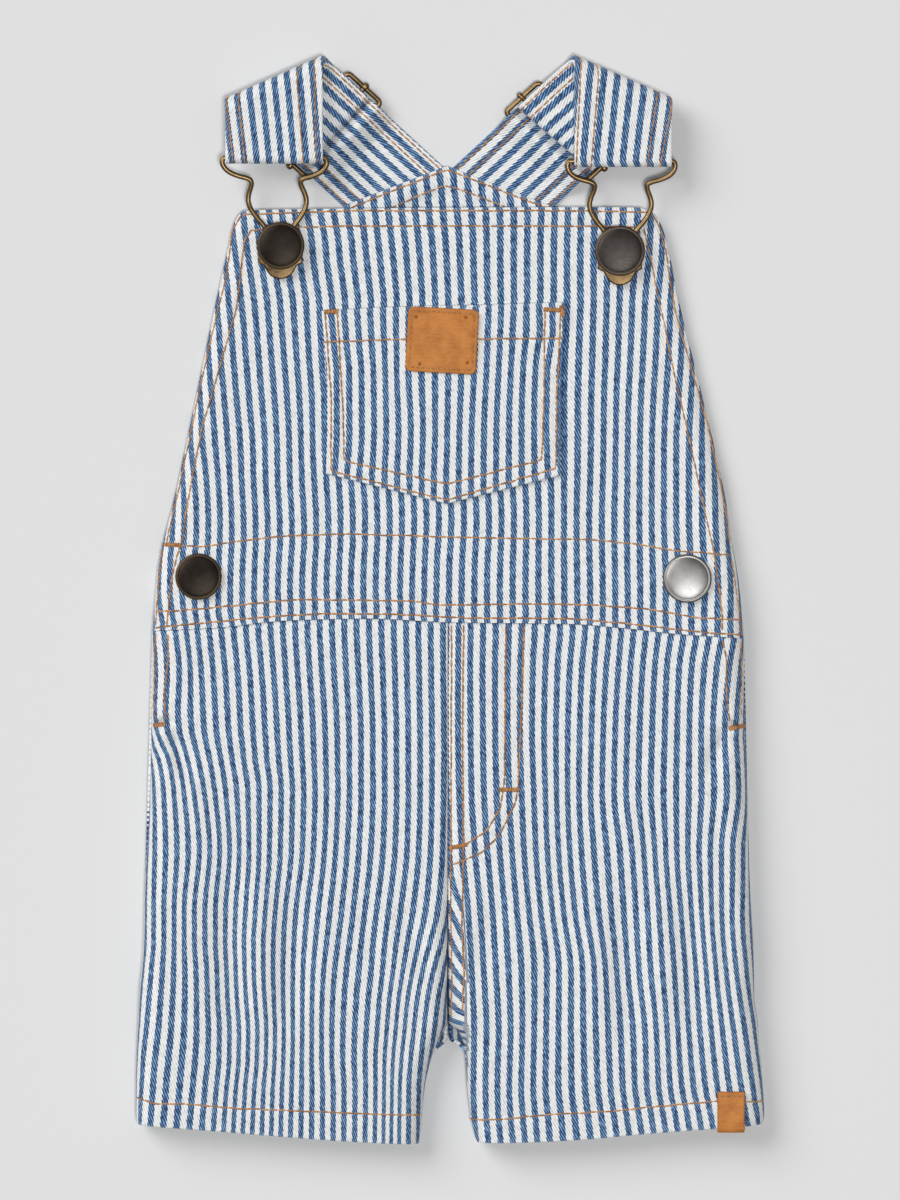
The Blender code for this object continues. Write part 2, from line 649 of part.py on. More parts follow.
def fused(name, main, added, color, roughness, metallic):
    """Two closed meshes joined into one solid."""
    bmesh.ops.recalc_face_normals(main, faces=main.faces)
    bmesh.ops.recalc_face_normals(added, faces=added.faces)
    pieces = []
    for label, bm in (("main", main), ("added", added)):
        mesh = bpy.data.meshes.new(name + label)
        bm.to_mesh(mesh)
        bm.free()
        piece = bpy.data.objects.new(name + label, mesh)
        bpy.context.scene.collection.objects.link(piece)
        pieces.append(piece)
    union = pieces[0].modifiers.new("union", "BOOLEAN")
    union.operation = "UNION"
    union.solver = "EXACT"
    union.object = pieces[1]
    bpy.context.view_layer.update()
    evaluated = pieces[0].evaluated_get(bpy.context.evaluated_depsgraph_get())
    bm = bmesh.new()
    bm.from_mesh(evaluated.to_mesh())
    evaluated.to_mesh_clear()
    for piece in pieces:
        bpy.data.objects.remove(piece)
    bmesh.ops.remove_doubles(bm, verts=bm.verts, dist=0.01)
    bmesh.ops.dissolve_degenerate(bm, edges=bm.edges, dist=0.01)
    return add_object(name, bm, color, roughness, metallic)


def slider(plan):
    """A wire frame with round corners and a centre bar whose ends stand proud of it."""
    frame = StrapFrame(plan)
    half_long = SLIDER_LENGTH / 2 - WIRE
    corner = SLIDER_CORNER
    outline = []
    for quarter, (sa, sw) in enumerate(((1, 1), (-1, 1), (-1, -1), (1, -1))):
        for k in range(4):
            angle = math.radians(90 * quarter + 30 * k)
            along = sa * (SLIDER_HALF - corner) + corner * math.cos(angle)
            across = SLIDER_SHIFT + sw * (half_long - corner) + corner * math.sin(angle)
            outline.append(frame.at_slider(along, across, SLIDER_Z))
    ring = bmesh.new()
    tube(ring, outline, WIRE, 8, True)
    bar = bmesh.new()
    ends = [SLIDER_SHIFT + s * (half_long + BAR_PROUD) for s in (-1, 1)]
    tube(bar, [frame.at_slider(0.0, w, SLIDER_Z) for w in ends], BAR_WIRE, 8, False)
    return fused("slider_" + plan.side, ring, bar, BRASS, 0.4, 1.0)


# Half of each clip's wire, from its bar down to its foot: distance down, and distances from its
# middle for the wearer's right and left clips, of which the left is a little the wider
ClipRow = namedtuple("ClipRow", "down right left")
CLIP_ROWS = [
    ClipRow(0.0, 18.25, 18.8),
    ClipRow(0.9, 19.25, 19.8),
    ClipRow(2.7, 19.4, 20.0),
    ClipRow(5.2, 17.7, 18.5),
    ClipRow(6.8, 14.3, 15.1),
    ClipRow(7.7, 10.5, 11.2),
    ClipRow(8.7, 9.0, 9.6),
    ClipRow(10.5, 9.2, 9.8),
    ClipRow(13.2, 10.4, 11.0),
    ClipRow(15.8, 10.9, 11.6),
    ClipRow(18.6, 10.3, 10.9),
    ClipRow(21.6, 8.5, 9.0),
    ClipRow(25.2, 5.4, 5.7),
    ClipRow(28.4, 4.2, 4.3),
    ClipRow(32.0, 4.1, 4.1),
    ClipRow(36.0, 4.4, 4.4),
    ClipRow(39.4, 4.5, 4.5),
    ClipRow(42.2, 3.3, 3.3),
    ClipRow(43.4, 1.1, 1.1),
]
# Where the bar and the foot are, and the clip's length as a share of its rows
ClipPlan = namedtuple("ClipPlan", "side bar_x foot_x bar_y length")
RIGHT_CLIP = ClipPlan("right", -65.0, -62.8, RIGHT_STRAP.bar_y, 1.0)
LEFT_CLIP = ClipPlan("left", 63.35, 62.9, LEFT_STRAP.bar_y, 1.025)
BUTTON_DOWN = 32.6       # the button's middle, in the rows' measure
CLIP_REST_Z = 6.6
CLIP_DROP = (1.0, 17.0)      # down from the bar: the wire comes down to rest on the bib

# Half of the keeper's outline, from its mouth above the button's shank to its foot: distance down,
# distance from its middle. The wings stand out between the third and the sixth point.
KEEPER_HALF = [(31.0, 3.3), (31.0, 5.6), (35.0, 6.2), (35.8, 8.2), (39.0, 8.2), (40.0, 6.0)]
KEEPER_FOOT = (39.2, 5.7)    # centre and radius of its round foot
SHANK_SLOT = (33.8, 3.1)     # centre and radius of the round end of its slot
KEEPER_THICK = 2.1       # it is folded round the wire's foot


def clip_place(plan, down, across):
    """A point of the clip's plan: it leans a little from its bar to the button."""
    lean = (plan.foot_x - plan.bar_x) * min(down / BUTTON_DOWN, 1.0)
    return plan.bar_x + lean + across, plan.bar_y - down * plan.length


def clip_height(down):
    start, end = CLIP_DROP
    return CLIP_BAR_Z + (CLIP_REST_Z - CLIP_BAR_Z) * smoothstep((down - start) / (end - start))


def clip(plan):
    """Bent wire with a stamped keeper below the button, round the button's shank."""
    half = [(row.down, getattr(row, plan.side)) for row in CLIP_ROWS]
    whole = half + [(down, -across) for down, across in reversed(half)]
    wire = bmesh.new()
    tube(wire, [(*clip_place(plan, d, a), clip_height(d)) for d, a in whole], WIRE, 8, True)
    quarter = [math.radians(angle) for angle in (0, 22, 45, 67)]
    foot_down, foot_radius = KEEPER_FOOT
    slot_down, slot_radius = SHANK_SLOT
    edge = KEEPER_HALF + [
        (foot_down + foot_radius * math.sin(a), foot_radius * math.cos(a)) for a in quarter[1:]
    ]
    notch = [(slot_down + slot_radius * math.sin(a), slot_radius * math.cos(a)) for a in reversed(quarter)]
    outline = edge + [(foot_down + foot_radius, 0.0)]
    outline += [(down, -across) for down, across in reversed(edge)]
    outline += [(down, -across) for down, across in reversed(notch)]
    outline += [(slot_down + slot_radius, 0.0)] + notch
    base_z = CLIP_REST_Z - KEEPER_THICK / 2
    keeper = bmesh.new()
    base = [keeper.verts.new((*clip_place(plan, d, a), base_z)) for d, a in outline]
    top = [keeper.verts.new((*vert.co.xy, vert.co.z + KEEPER_THICK)) for vert in base]
    keeper.faces.new(base)
    keeper.faces.new(top[::-1])
    for i in range(len(base)):
        k = (i + 1) % len(base)
        keeper.faces.new((base[i], base[k], top[k], top[i]))
    return fused("clip_" + plan.side, wire, keeper, BRASS, 0.4, 1.0)


def turned(bm, profile, centre, axis, steps=24):
    """A round solid: profile is (radius, height) from its lowest middle point to its highest."""
    axis = Vector(axis).normalized()
    sideways = axis.cross(Vector((0, 1, 0))).normalized()
    forward = axis.cross(sideways)
    centre = Vector(centre)
    low = bm.verts.new(centre + axis * profile[0][1])
    high = bm.verts.new(centre + axis * profile[-1][1])
    rings = []
    for radius, height in profile[1:-1]:
        rings.append([
            bm.verts.new(centre + axis * height + radius * (
                sideways * math.cos(2 * math.pi * k / steps) + forward * math.sin(2 * math.pi * k / steps)
            ))
            for k in range(steps)
        ])
    for k in range(steps):
        m = (k + 1) % steps
        bm.faces.new((low, rings[0][k], rings[0][m]))
        bm.faces.new((high, rings[-1][m], rings[-1][k]))
        for first, second in zip(rings, rings[1:]):
            bm.faces.new((first[k], second[k], second[m], first[m]))


ButtonPlan = namedtuple("ButtonPlan", "name x y radius shank color")
BUTTONS = [
    ButtonPlan("bib_button_right", -62.6, 131.0, 8.8, 2.9, DARK_METAL),
    ButtonPlan("bib_button_left", 62.9, 129.1, 9.3, 2.9, DARK_METAL),
    ButtonPlan("waist_button_right", -92.9, 8.5, 8.6, 0.5, DARK_METAL),
    ButtonPlan("waist_button_left", 87.7, 7.8, 9.0, 0.5, SILVER),
]


SHANK_FOOT = 2.6         # radius of the shank where it meets the cloth
SHANK_NECK = 2.4
BUTTON_STEP = 3.0        # a button stands square to the cloth over twice this
# The cap from the rim's underside to its dome: distance in from the rim, height above its underside
CAP_RIM = [(0.7, 0.0), (0.0, 0.6), (0.1, 1.3), (1.0, 1.8)]
CAP_DOME = (0.55, 2.3)       # share of the radius, height
CAP_TOP = 2.5


def button(bib, plan):
    """A domed cap with a rolled rim on a short shank, square to the cloth below it."""
    under = GAP + plan.shank
    profile = [(0.0, GAP), (SHANK_FOOT, GAP), (SHANK_NECK, under)]
    profile += [(plan.radius - inset, under + height) for inset, height in CAP_RIM]
    profile += [(plan.radius * CAP_DOME[0], under + CAP_DOME[1]), (0.0, under + CAP_TOP)]
    bm = bmesh.new()
    foot = (plan.x, plan.y, bib.height(plan.x, plan.y))
    turned(bm, profile, foot, panel_normal(bib, plan.x, plan.y, BUTTON_STEP))
    return add_object(plan.name, bm, plan.color, 0.4, 1.0)


TAB_LEFT, TAB_RIGHT = 98.7, 108.7
TAB_FRONT_ROWS = [-181.4, -186.0, -190.5]
TAB_INSIDE_ROWS = [-190.5, -186.0]
TAB_PAST_HEM = 0.3       # its turn starts this far above the hem's middle line


def hem_tab(leg):
    """A leather strip over the hem: down the outside, round the edge and up the inside."""
    xs = np.linspace(TAB_LEFT, TAB_RIGHT, 4)
    leather_half = LEATHER / 2
    stations = []
    hem = smooth_curve(LEFT_HEM, (TAB_LEFT + TAB_RIGHT) / 2) + TAB_PAST_HEM
    for y in TAB_FRONT_ROWS + [hem]:
        _, upper = on_panel(leg, [[(x, y) for x in xs]], 0.0, TAB_GAP + leather_half)
        stations.append(upper[0])
    middle_radius = CLOTH / 2 + TAB_GAP + leather_half
    lower_edge, upper_edge = on_panel(leg, [[(x, hem) for x in xs]], -CLOTH / 2, CLOTH)
    normals = (upper_edge - lower_edge)[0] / CLOTH
    pivots = lower_edge[0]
    outward = np.array((0.0, -1.0, 0.0))
    for degrees in (45, 90, 135, 180):
        angle = math.radians(degrees)
        stations.append(pivots + middle_radius * (normals * math.cos(angle) + outward * math.sin(angle)))
    for y in TAB_INSIDE_ROWS:
        _, lower = on_panel(leg, [[(x, y) for x in xs]], 0.0, -(CLOTH + TAB_GAP + leather_half))
        stations.append(lower[0])
    stations = np.array(stations)
    across = ribbon_normals(stations)
    return wall_between(
        "hem_tab", stations + across * leather_half, stations - across * leather_half, TAN, 0.6
    )


def build():
    for piece in list(bpy.data.objects):
        bpy.data.objects.remove(piece)
    above_seam = curve(WAIST_SEAM, SEAM_SETBACK)
    below_seam = curve(WAIST_SEAM, -SEAM_SETBACK)
    bib = Panel(BIB, curve(BIB_TOP), above_seam)
    panel_wall("front_bib", bib, BIB_ROWS, 12, 1)
    fronts = {}
    for side, hem, folds in (("right", RIGHT_HEM, RIGHT_FOLDS), ("left", LEFT_HEM, LEFT_FOLDS)):
        fronts[side] = Panel(front_sections(LEGS, side), below_seam, curve(hem), folds)
        panel_wall("front_leg_" + side, fronts[side], LEG_ROWS, 8, 1)
        back = Panel(back_sections(BACKS, side), below_seam, curve(hem))
        panel_wall("back_leg_" + side, back, BACK_ROWS, 4, -1)
    back_bib = Panel(BACK_BIB, yoke_edge, above_seam, lift=yoke_lift)
    panel_wall("back_bib", back_bib, BACK_BIB_ROWS, 9, -1)
    chest_pocket(bib)
    pocket_patch(bib)
    for plan in (RIGHT_STRAP, LEFT_STRAP):
        strap(plan)
        slider(plan)
    for plan in (RIGHT_CLIP, LEFT_CLIP):
        clip(plan)
    for plan in BUTTONS:
        button(bib, plan)
    hem_tab(fronts["left"])


build()
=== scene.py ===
"""Looks of a baby's striped shortalls, laid flat on their back with the straps folded to the front.

Sizes are in millimetres until a mesh is made. +X is the wearer's left, +Y points to the straps and
+Z up out of the front, as in the solids. Each cloth piece is a thin wall on its solid's form, with
its creases, seams and hems, and the sewing thread lies in it as a mesh.
"""

import math
from collections import namedtuple

import bmesh
import bpy
import numpy as np
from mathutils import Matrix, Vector


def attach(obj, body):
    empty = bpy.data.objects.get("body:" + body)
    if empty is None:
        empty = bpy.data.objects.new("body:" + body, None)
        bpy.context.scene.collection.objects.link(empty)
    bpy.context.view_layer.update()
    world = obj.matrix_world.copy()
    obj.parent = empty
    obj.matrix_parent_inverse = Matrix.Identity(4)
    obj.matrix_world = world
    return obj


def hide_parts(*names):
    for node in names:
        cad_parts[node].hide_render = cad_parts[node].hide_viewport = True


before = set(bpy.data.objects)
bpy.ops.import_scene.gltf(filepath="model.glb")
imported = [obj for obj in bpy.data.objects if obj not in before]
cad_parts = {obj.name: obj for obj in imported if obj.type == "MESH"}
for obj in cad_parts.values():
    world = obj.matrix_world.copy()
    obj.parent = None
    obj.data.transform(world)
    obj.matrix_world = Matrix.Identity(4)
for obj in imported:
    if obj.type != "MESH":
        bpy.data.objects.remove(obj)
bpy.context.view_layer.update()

MM = 0.001
BODY = "root"

# Sizes that the solids have too
CLOTH = 1.2
GAP = 0.3
SEAM_HEIGHT = 5.0
STRAP_WIDTH = 36.0
STRAP_THICK = 1.2
LAYER = STRAP_THICK + 0.5
WIRE = 0.95
BAR_WIRE = 0.92
YOKE_TUCK = 3.5
YOKE_LIFTED = (5.0, 10.0)
LEATHER = 1.1
TAB_GAP = 0.45
SEAM_SETBACK = 0.06
SIDE_ROLL = 8.0

# Sizes of the finish
STRIPE = 4.55            # from one blue stripe to the next
MESH_STEP = 1.0          # of the cloth's grids
LIP = 0.55               # radius of a cloth edge
HEM_RISE = 0.40          # a hem or turned edge is thicker by this
STITCH_PITCH = 3.1
STITCH_LENGTH = 3.05
FOLD_REACH = 2.5         # folds fade out over this part (1 / reach) of a side's turn
THREAD = 0.34            # radius of the sewing thread
STRAP_THREAD = 0.30
ROLL_SPREAD = 0.3        # how much of their true width stripes keep where a side begins to turn down

Section = namedtuple("Section", "y left right top left_z right_z left_roll right_roll left_tip right_tip")
LegRow = namedtuple("LegRow", "y right_outer right_inner left_inner left_outer top seam_z roll tip")
BackRow = namedtuple("BackRow", "y right_outer right_inner left_inner left_outer seam_z roll tip")
Fold = namedtuple("Fold", "x0 y0 x1 y1 depth width")
Stripes = namedtuple("Stripes", "numbers rows")

BIB = [
    Section(145.6, -72.5, 70.0, 4.9, 4.4, 4.4, 4.0, 4.0, 20, 20),
    Section(143.6, -77.2, 74.9, 5.0, 4.3, 4.3, 5.0, 5.0, 22, 22),
    Section(139.0, -80.2, 78.3, 5.0, 4.0, 4.0, 6.0, 6.0, 26, 26),
    Section(130.0, -82.3, 80.9, 5.1, 3.7, 3.7, 7.0, 7.0, 32, 32),
    Section(111.0, -86.6, 84.8, 5.3, 3.4, 3.4, 8.0, 8.0, 38, 38),
    Section(74.0, -94.4, 93.9, 6.0, 3.3, 3.3, 8.0, 8.0, 46, 46),
    Section(37.0, -102.3, 102.2, 7.6, 3.6, 3.6, 8.0, 8.0, 60, 60),
    Section(20.7, -106.4, 104.6, 9.0, 4.3, 4.3, 8.0, 8.0, 75, 75),
    Section(10.0, -108.4, 106.5, 9.9, 4.8, 4.8, 8.0, 8.0, 85, 85),
    Section(-2.0, -109.4, 107.9, 10.6, 5.0, 5.0, 8.0, 8.0, 90, 90),
    Section(-15.0, -110.4, 109.1, 11.1, 5.0, 5.0, 8.0, 8.0, 90, 90),
]

LEGS = [
    LegRow(-6.0, -110.2, -0.75, -0.66, 108.8, 11.0, 10.6, 3.0, 12),
    LegRow(-44.0, -110.6, -0.75, -0.66, 109.1, 12.4, 11.7, 3.5, 16),
    LegRow(-75.0, -111.2, -0.75, -0.66, 110.2, 13.6, 12.3, 4.0, 22),
    LegRow(-105.0, -113.0, -0.75, -0.66, 111.1, 14.2, 12.0, 5.0, 32),
    LegRow(-130.0, -113.7, -0.75, -0.66, 112.5, 14.5, 9.8, 6.0, 48),
    LegRow(-147.0, -115.2, -0.75, -0.66, 112.7, 14.5, 6.8, 7.0, 65),
    LegRow(-156.0, -115.5, -0.75, -0.66, 113.9, 14.4, 5.0, 7.0, 78),
    LegRow(-160.0, -115.7, -2.6, 3.2, 114.2, 14.3, 5.0, 7.0, 84),
    LegRow(-165.0, -115.9, -5.0, 5.2, 114.6, 14.2, 5.0, 7.0, 90),
    LegRow(-171.0, -116.1, -7.2, 5.8, 115.2, 14.0, 5.0, 7.0, 90),
    LegRow(-180.0, -116.3, -9.3, 6.4, 116.0, 13.6, 5.0, 7.0, 90),
    LegRow(-190.0, -116.3, -10.4, 7.5, 116.4, 13.0, 5.0, 7.0, 90),
    LegRow(-197.0, -115.2, -10.9, 8.9, 114.6, 12.6, 5.0, 7.0, 90),
    LegRow(-202.0, -113.0, -11.6, 10.4, 112.0, 12.4, 5.0, 7.0, 90),
]

BACKS = [
    BackRow(-6.0, -110.2, -0.85, -0.55, 108.8, 0.0, 8.0, 8),
    BackRow(-105.0, -113.0, -0.85, -0.55, 111.1, 0.0, 8.0, 8),
    BackRow(-130.0, -113.7, -0.85, -0.55, 112.5, 0.6, 8.0, 15),
    BackRow(-147.0, -115.2, -0.85, -0.55, 112.7, 3.0, 8.0, 45),
    BackRow(-156.0, -115.5, -0.85, -0.55, 113.9, 4.2, 7.0, 62),
    BackRow(-160.0, -115.7, -0.85, -0.55, 114.2, 4.1, 7.0, 70),
    BackRow(-163.0, -115.8, -0.95, -0.3, 114.4, 4.0, 7.0, 76),
    BackRow(-165.2, -115.9, -3.2, 3.4, 114.6, 4.0, 7.0, 82),
    BackRow(-168.0, -116.0, -6.2, 5.5, 114.9, 4.5, 7.0, 90),
    BackRow(-171.0, -116.1, -7.2, 5.8, 115.2, 4.7, 7.0, 90),
    BackRow(-180.0, -116.3, -9.3, 6.4, 116.0, 4.7, 7.0, 90),
    BackRow(-190.0, -116.3, -10.4, 7.5, 116.4, 4.7, 7.0, 90),
    BackRow(-197.0, -115.2, -10.9, 8.9, 114.6, 4.7, 7.0, 90),
    BackRow(-202.0, -113.0, -11.6, 10.4, 112.0, 4.7, 7.0, 90),
]

BACK_BIB = [
    Section(147.0, -38.0, 39.5, 0.0, 0.0, 0.0, 4.0, 4.0, 8, 8),
    Section(120.0, -45.0, 44.0, 0.0, 0.0, 0.0, 4.0, 4.0, 8, 8),
    Section(80.0, -62.0, 61.0, 0.0, 0.0, 0.0, 5.0, 5.0, 8, 8),
    Section(45.0, -86.0, 85.0, 0.0, 0.6, 0.6, 6.0, 6.0, 20, 20),
    Section(25.0, -100.0, 99.0, 0.0, 1.8, 1.8, 7.0, 7.0, 45, 45),
    Section(10.0, -107.9, 106.0, 0.0, 3.9, 3.9, 8.0, 8.0, 85, 85),
    Section(-2.0, -109.4, 107.9, 0.0, 4.5, 4.5, 8.0, 8.0, 90, 90),
    Section(-15.0, -110.4, 109.1, 0.0, 4.7, 4.7, 8.0, 8.0, 90, 90),
]

# Curves across the garment, as (x, y)
BIB_TOP = [(-80.0, 144.2), (-60.0, 144.8), (0.0, 145.4), (50.0, 145.6), (80.0, 145.4)]
WAIST_SEAM = [
    (-112.0, -11.6), (-86.0, -10.3), (-60.0, -7.6), (-30.0, -6.9),
    (0.0, -8.3), (44.0, -8.9), (64.0, -10.4), (84.0, -12.6), (112.0, -14.4),
]
RIGHT_HEM = [(-117.0, -194.1), (-89.0, -196.1), (-62.5, -198.3), (-36.0, -200.2), (-10.0, -201.4)]
LEFT_HEM = [(8.0, -200.8), (26.0, -200.5), (49.0, -199.4), (72.0, -197.3), (99.0, -195.3), (117.0, -194.0)]
YOKE_APEX = (-1.1, 161.0)
YOKE_SLOPE = 0.385

# Folds of the fronts: a negative depth is a trough
RIGHT_FOLDS = [
    Fold(-104.0, -46.0, -95.0, -70.0, -1.71, 3.0),
    Fold(-83.0, -85.0, -79.0, -172.0, -1.71, 6.0),
    Fold(-57.0, -98.0, -60.0, -168.0, -1.4, 6.0),
    Fold(-20.0, -108.0, -3.0, -146.0, -1.4, 4.5),
    Fold(-113.0, -45.6, -102.5, -45.0, -2.6, 0.9),
    Fold(-109.0, -48.8, -102.0, -51.0, 0.9, 1.8),
    Fold(-109.5, -41.5, -103.5, -41.0, 0.7, 1.8),
    Fold(-103.6, -44.0, -95.5, -70.0, -1.3, 1.4),
    Fold(-97.0, -56.0, -90.0, -92.0, 0.93, 4.5),
    Fold(-70.0, -90.0, -69.0, -165.0, 0.85, 5.5),
    Fold(-46.0, -100.0, -49.0, -170.0, 0.7, 5.0),
    Fold(-96.0, -100.0, -92.0, -176.0, 0.62, 5.0),
    Fold(-34.0, -104.0, -24.0, -150.0, -0.7, 4.0),
    Fold(-12.0, -118.0, -1.5, -146.0, 0.54, 2.6),
    Fold(-60.0, -20.0, -58.0, -70.0, 0.46, 8.0),
    Fold(-30.0, -14.0, -26.0, -60.0, -0.39, 7.0),
]
LEFT_FOLDS = [
    Fold(102.0, -46.0, 94.0, -68.0, -1.71, 3.0),
    Fold(62.0, -96.0, 69.0, -178.0, -1.55, 6.0),
    Fold(88.0, -100.0, 92.0, -172.0, -1.24, 5.0),
    Fold(19.0, -104.0, 8.0, -150.0, -1.08, 4.5),
    Fold(101.0, -46.8, 111.0, -45.6, -2.4, 0.9),
    Fold(102.5, -46.0, 97.0, -66.0, -1.1, 1.3),
    Fold(97.5, -64.0, 99.0, -96.0, -0.7, 1.8),
    Fold(101.0, -50.6, 108.5, -49.6, 0.8, 1.8),
    Fold(102.5, -42.4, 108.0, -41.8, 0.6, 1.8),
    Fold(76.0, -92.0, 80.0, -168.0, 0.7, 5.0),
    Fold(52.0, -108.0, 56.0, -172.0, 0.62, 5.0),
    Fold(101.0, -72.0, 103.0, -160.0, -0.62, 3.5),
    Fold(34.0, -120.0, 38.0, -170.0, -0.62, 5.0),
    Fold(70.0, -62.0, 62.0, -92.0, 0.54, 5.0),
    Fold(30.0, -14.0, 33.0, -60.0, -0.39, 7.0),
    Fold(66.0, -20.0, 64.0, -60.0, 0.46, 8.0),
]
BIB_FOLDS = [
    Fold(-30.0, 130.0, 24.0, 134.0, 0.39, 7.0),
    Fold(-76.0, 90.0, -72.0, 40.0, -0.39, 7.0),
    Fold(72.0, 104.0, 76.0, 44.0, 0.39, 7.0),
    Fold(-56.0, 60.0, -52.0, 8.0, 0.33, 6.0),
    Fold(54.0, 60.0, 56.0, 6.0, -0.33, 6.0),
]

# Where the blue stripes run, as scratch scripts traced them on the photo and then corrected them:
# in each row y, then the x of the stripes that are numbered above
BIB_STRIPES = Stripes((12, 16, 20, 24, 28, 32, 36, 40, 44, 48, 52, 56, 60), [
    (145.0, -125, -106, -86.8, -67.2, -48.4, -28.0, -8.0, 13.2, 33.9, 53.6, 74.7, 93.2, 112),
    (133.2, -123, -104.5, -85.2, -65.9, -46.3, -26.6, -6.7, 13.6, 33.6, 53.3, 74.1, 92.6, 111.2),
    (126.0, -121.5, -103.2, -84.0, -65.2, -45.7, -25.9, -6.2, 13.65, 33.5, 53.2, 73.6, 92.2, 110.8),
    (118.4, -120, -101.8, -82.8, -64.2, -44.7, -25.2, -5.8, 13.8, 33.5, 53.2, 72.9, 91.8, 110.4),
    (111.0, -119, -100.8, -82.1, -63.0, -43.7, -24.5, -5.5, 14.0, 33.5, 53.2, 72.3, 91.3, 110),
    (100.0, -117.8, -99.8, -81.0, -62.2, -43.3, -24.4, -5.6, 13.6, 33.0, 52.95, 71.9, 90.8, 109.6),
    (88.8, -117, -98.8, -80.2, -61.4, -42.9, -24.4, -5.8, 13.4, 32.2, 52.7, 71.4, 90.3, 109.4),
    (74.0, -115.6, -97.2, -79.0, -60.3, -42.1, -24.1, -5.9, 13.0, 32.0, 52.3, 70.7, 89.3, 109.2),
    (59.2, -114.6, -96.4, -77.75, -59.6, -42.1, -23.9, -5.4, 13.2, 32.2, 52.2, 70.3, 88.5, 108.9),
    (44.4, -113, -94.6, -77.1, -59.3, -41.2, -23.0, -4.7, 13.8, 32.5, 51.9, 70.2, 88.4, 108.8),
    (29.6, -112, -93.8, -76.4, -58.5, -40.5, -22.3, -4.1, 14.45, 32.9, 51.5, 70.05, 88.4, 108.5),
    (21.0, -112.2, -94.0, -76.3, -58.4, -40.5, -22.4, -4.4, 14.2, 32.8, 51.5, 70.1, 88.7, 108.6),
    (14.8, -112.6, -94.4, -76.6, -58.8, -40.9, -22.7, -4.8, 13.9, 32.7, 51.6, 70.2, 89.0, 108.7),
    (3.7, -112.7, -94.5, -76.8, -59.15, -41.15, -22.95, -5.0, 13.7, 32.65, 51.8, 70.3, 89.4, 108.9),
    (-4.0, -111.3, -94.2, -76.8, -58.85, -40.75, -22.65, -5.2, 13.7, 32.7, 51.75, 70.3, 89.1, 108.8),
    (-9.0, -110.4, -93.4, -76.2, -59.3, -41.3, -23.2, -5.1, 13.7, 32.6, 51.7, 70.4, 89.2, 108.6),
])
POCKET_STRIPES = Stripes((28, 30, 32, 34, 36, 38, 40, 42, 44, 46), [
    (110.0, -44.3, -34.6, -24.9, -15.3, -5.5, 4.8, 14.4, 23.6, 33.0, 42.6),
    (104.0, -43.8, -34.2, -24.7, -15.3, -5.5, 4.6, 14.2, 23.4, 33.2, 42.6),
    (100.0, -43.4, -33.9, -24.6, -15.4, -5.6, 4.4, 14.0, 23.2, 33.3, 42.6),
    (92.0, -42.7, -33.4, -24.2, -15.3, -5.7, 4.3, 13.8, 22.9, 32.3, 41.7),
    (85.1, -42.0, -32.8, -24.0, -15.4, -5.6, 4.2, 13.5, 22.5, 31.6, 40.5),
    (62.9, -41.9, -32.6, -23.6, -14.5, -5.5, 3.5, 12.6, 21.8, 31.1, 40.2),
    (46.6, -42.6, -33.5, -24.2, -15.0, -6.0, 3.2, 12.4, 21.7, 31.4, 41.0),
])
RIGHT_STRIPES = Stripes((8, 10, 12, 16, 20, 24, 28, 32, 36), [
    (-12.0, -110.2, -101.5, -93.3, -75.4, -57.2, -39.1, -20.8, -2.6, 15.6),
    (-16.0, -109.9, -100.9, -92.9, -75.0, -57.0, -38.9, -20.7, -2.6, 15.6),
    (-22.0, -109.4, -100.2, -92.25, -74.4, -56.6, -38.6, -20.5, -2.5, 15.7),
    (-28.0, -109.3, -100.0, -91.8, -73.9, -56.2, -38.3, -20.3, -2.5, 15.7),
    (-34.0, -109.5, -100.2, -91.5, -73.5, -55.8, -37.9, -20.2, -2.4, 15.7),
    (-40.0, -109.7, -100.5, -91.3, -73.2, -55.4, -37.6, -20.0, -2.3, 15.7),
    (-48.1, -108.6, -100.0, -90.8, -72.8, -55.0, -37.3, -19.8, -2.3, 15.7),
    (-53.0, -106.4, -98.6, -90.0, -72.4, -54.8, -37.2, -19.8, -2.2, 15.7),
    (-59.2, -103.8, -96.9, -88.7, -71.9, -54.5, -37.2, -19.8, -2.2, 15.6),
    (-70.3, -102.0, -94.6, -86.9, -70.5, -54.0, -37.1, -19.7, -2.3, 15.6),
    (-92.5, -100.8, -92.5, -85.0, -70.5, -54.5, -38.0, -20.3, -2.7, 15.6),
    (-114.7, -101.8, -94.3, -86.6, -71.8, -56.9, -40.0, -22.7, -4.5, 13.8),
    (-125.8, -101.8, -94.3, -86.6, -72.5, -57.6, -41.3, -24.0, -7.2, 10),
    (-136.9, -102.0, -93.7, -86.0, -72.4, -58.0, -42.6, -24.9, -10.1, 6),
    (-148.0, -102.4, -93.5, -85.7, -71.8, -58.1, -43.3, -26.1, -12.2, 3.5),
    (-159.1, -103.0, -93.5, -85.1, -71.1, -58.0, -43.6, -26.9, -13.4, 2),
    (-170.0, -104.0, -94.1, -85.3, -71.3, -58.2, -43.6, -27.5, -14.6, 1.5),
    (-179.8, -104.8, -95.0, -86.2, -72.2, -58.5, -43.1, -27.5, -15.3, 1),
    (-201.0, -106.4, -96.6, -87.8, -73.2, -59.0, -43.2, -27.8, -15.6, 0.5),
])
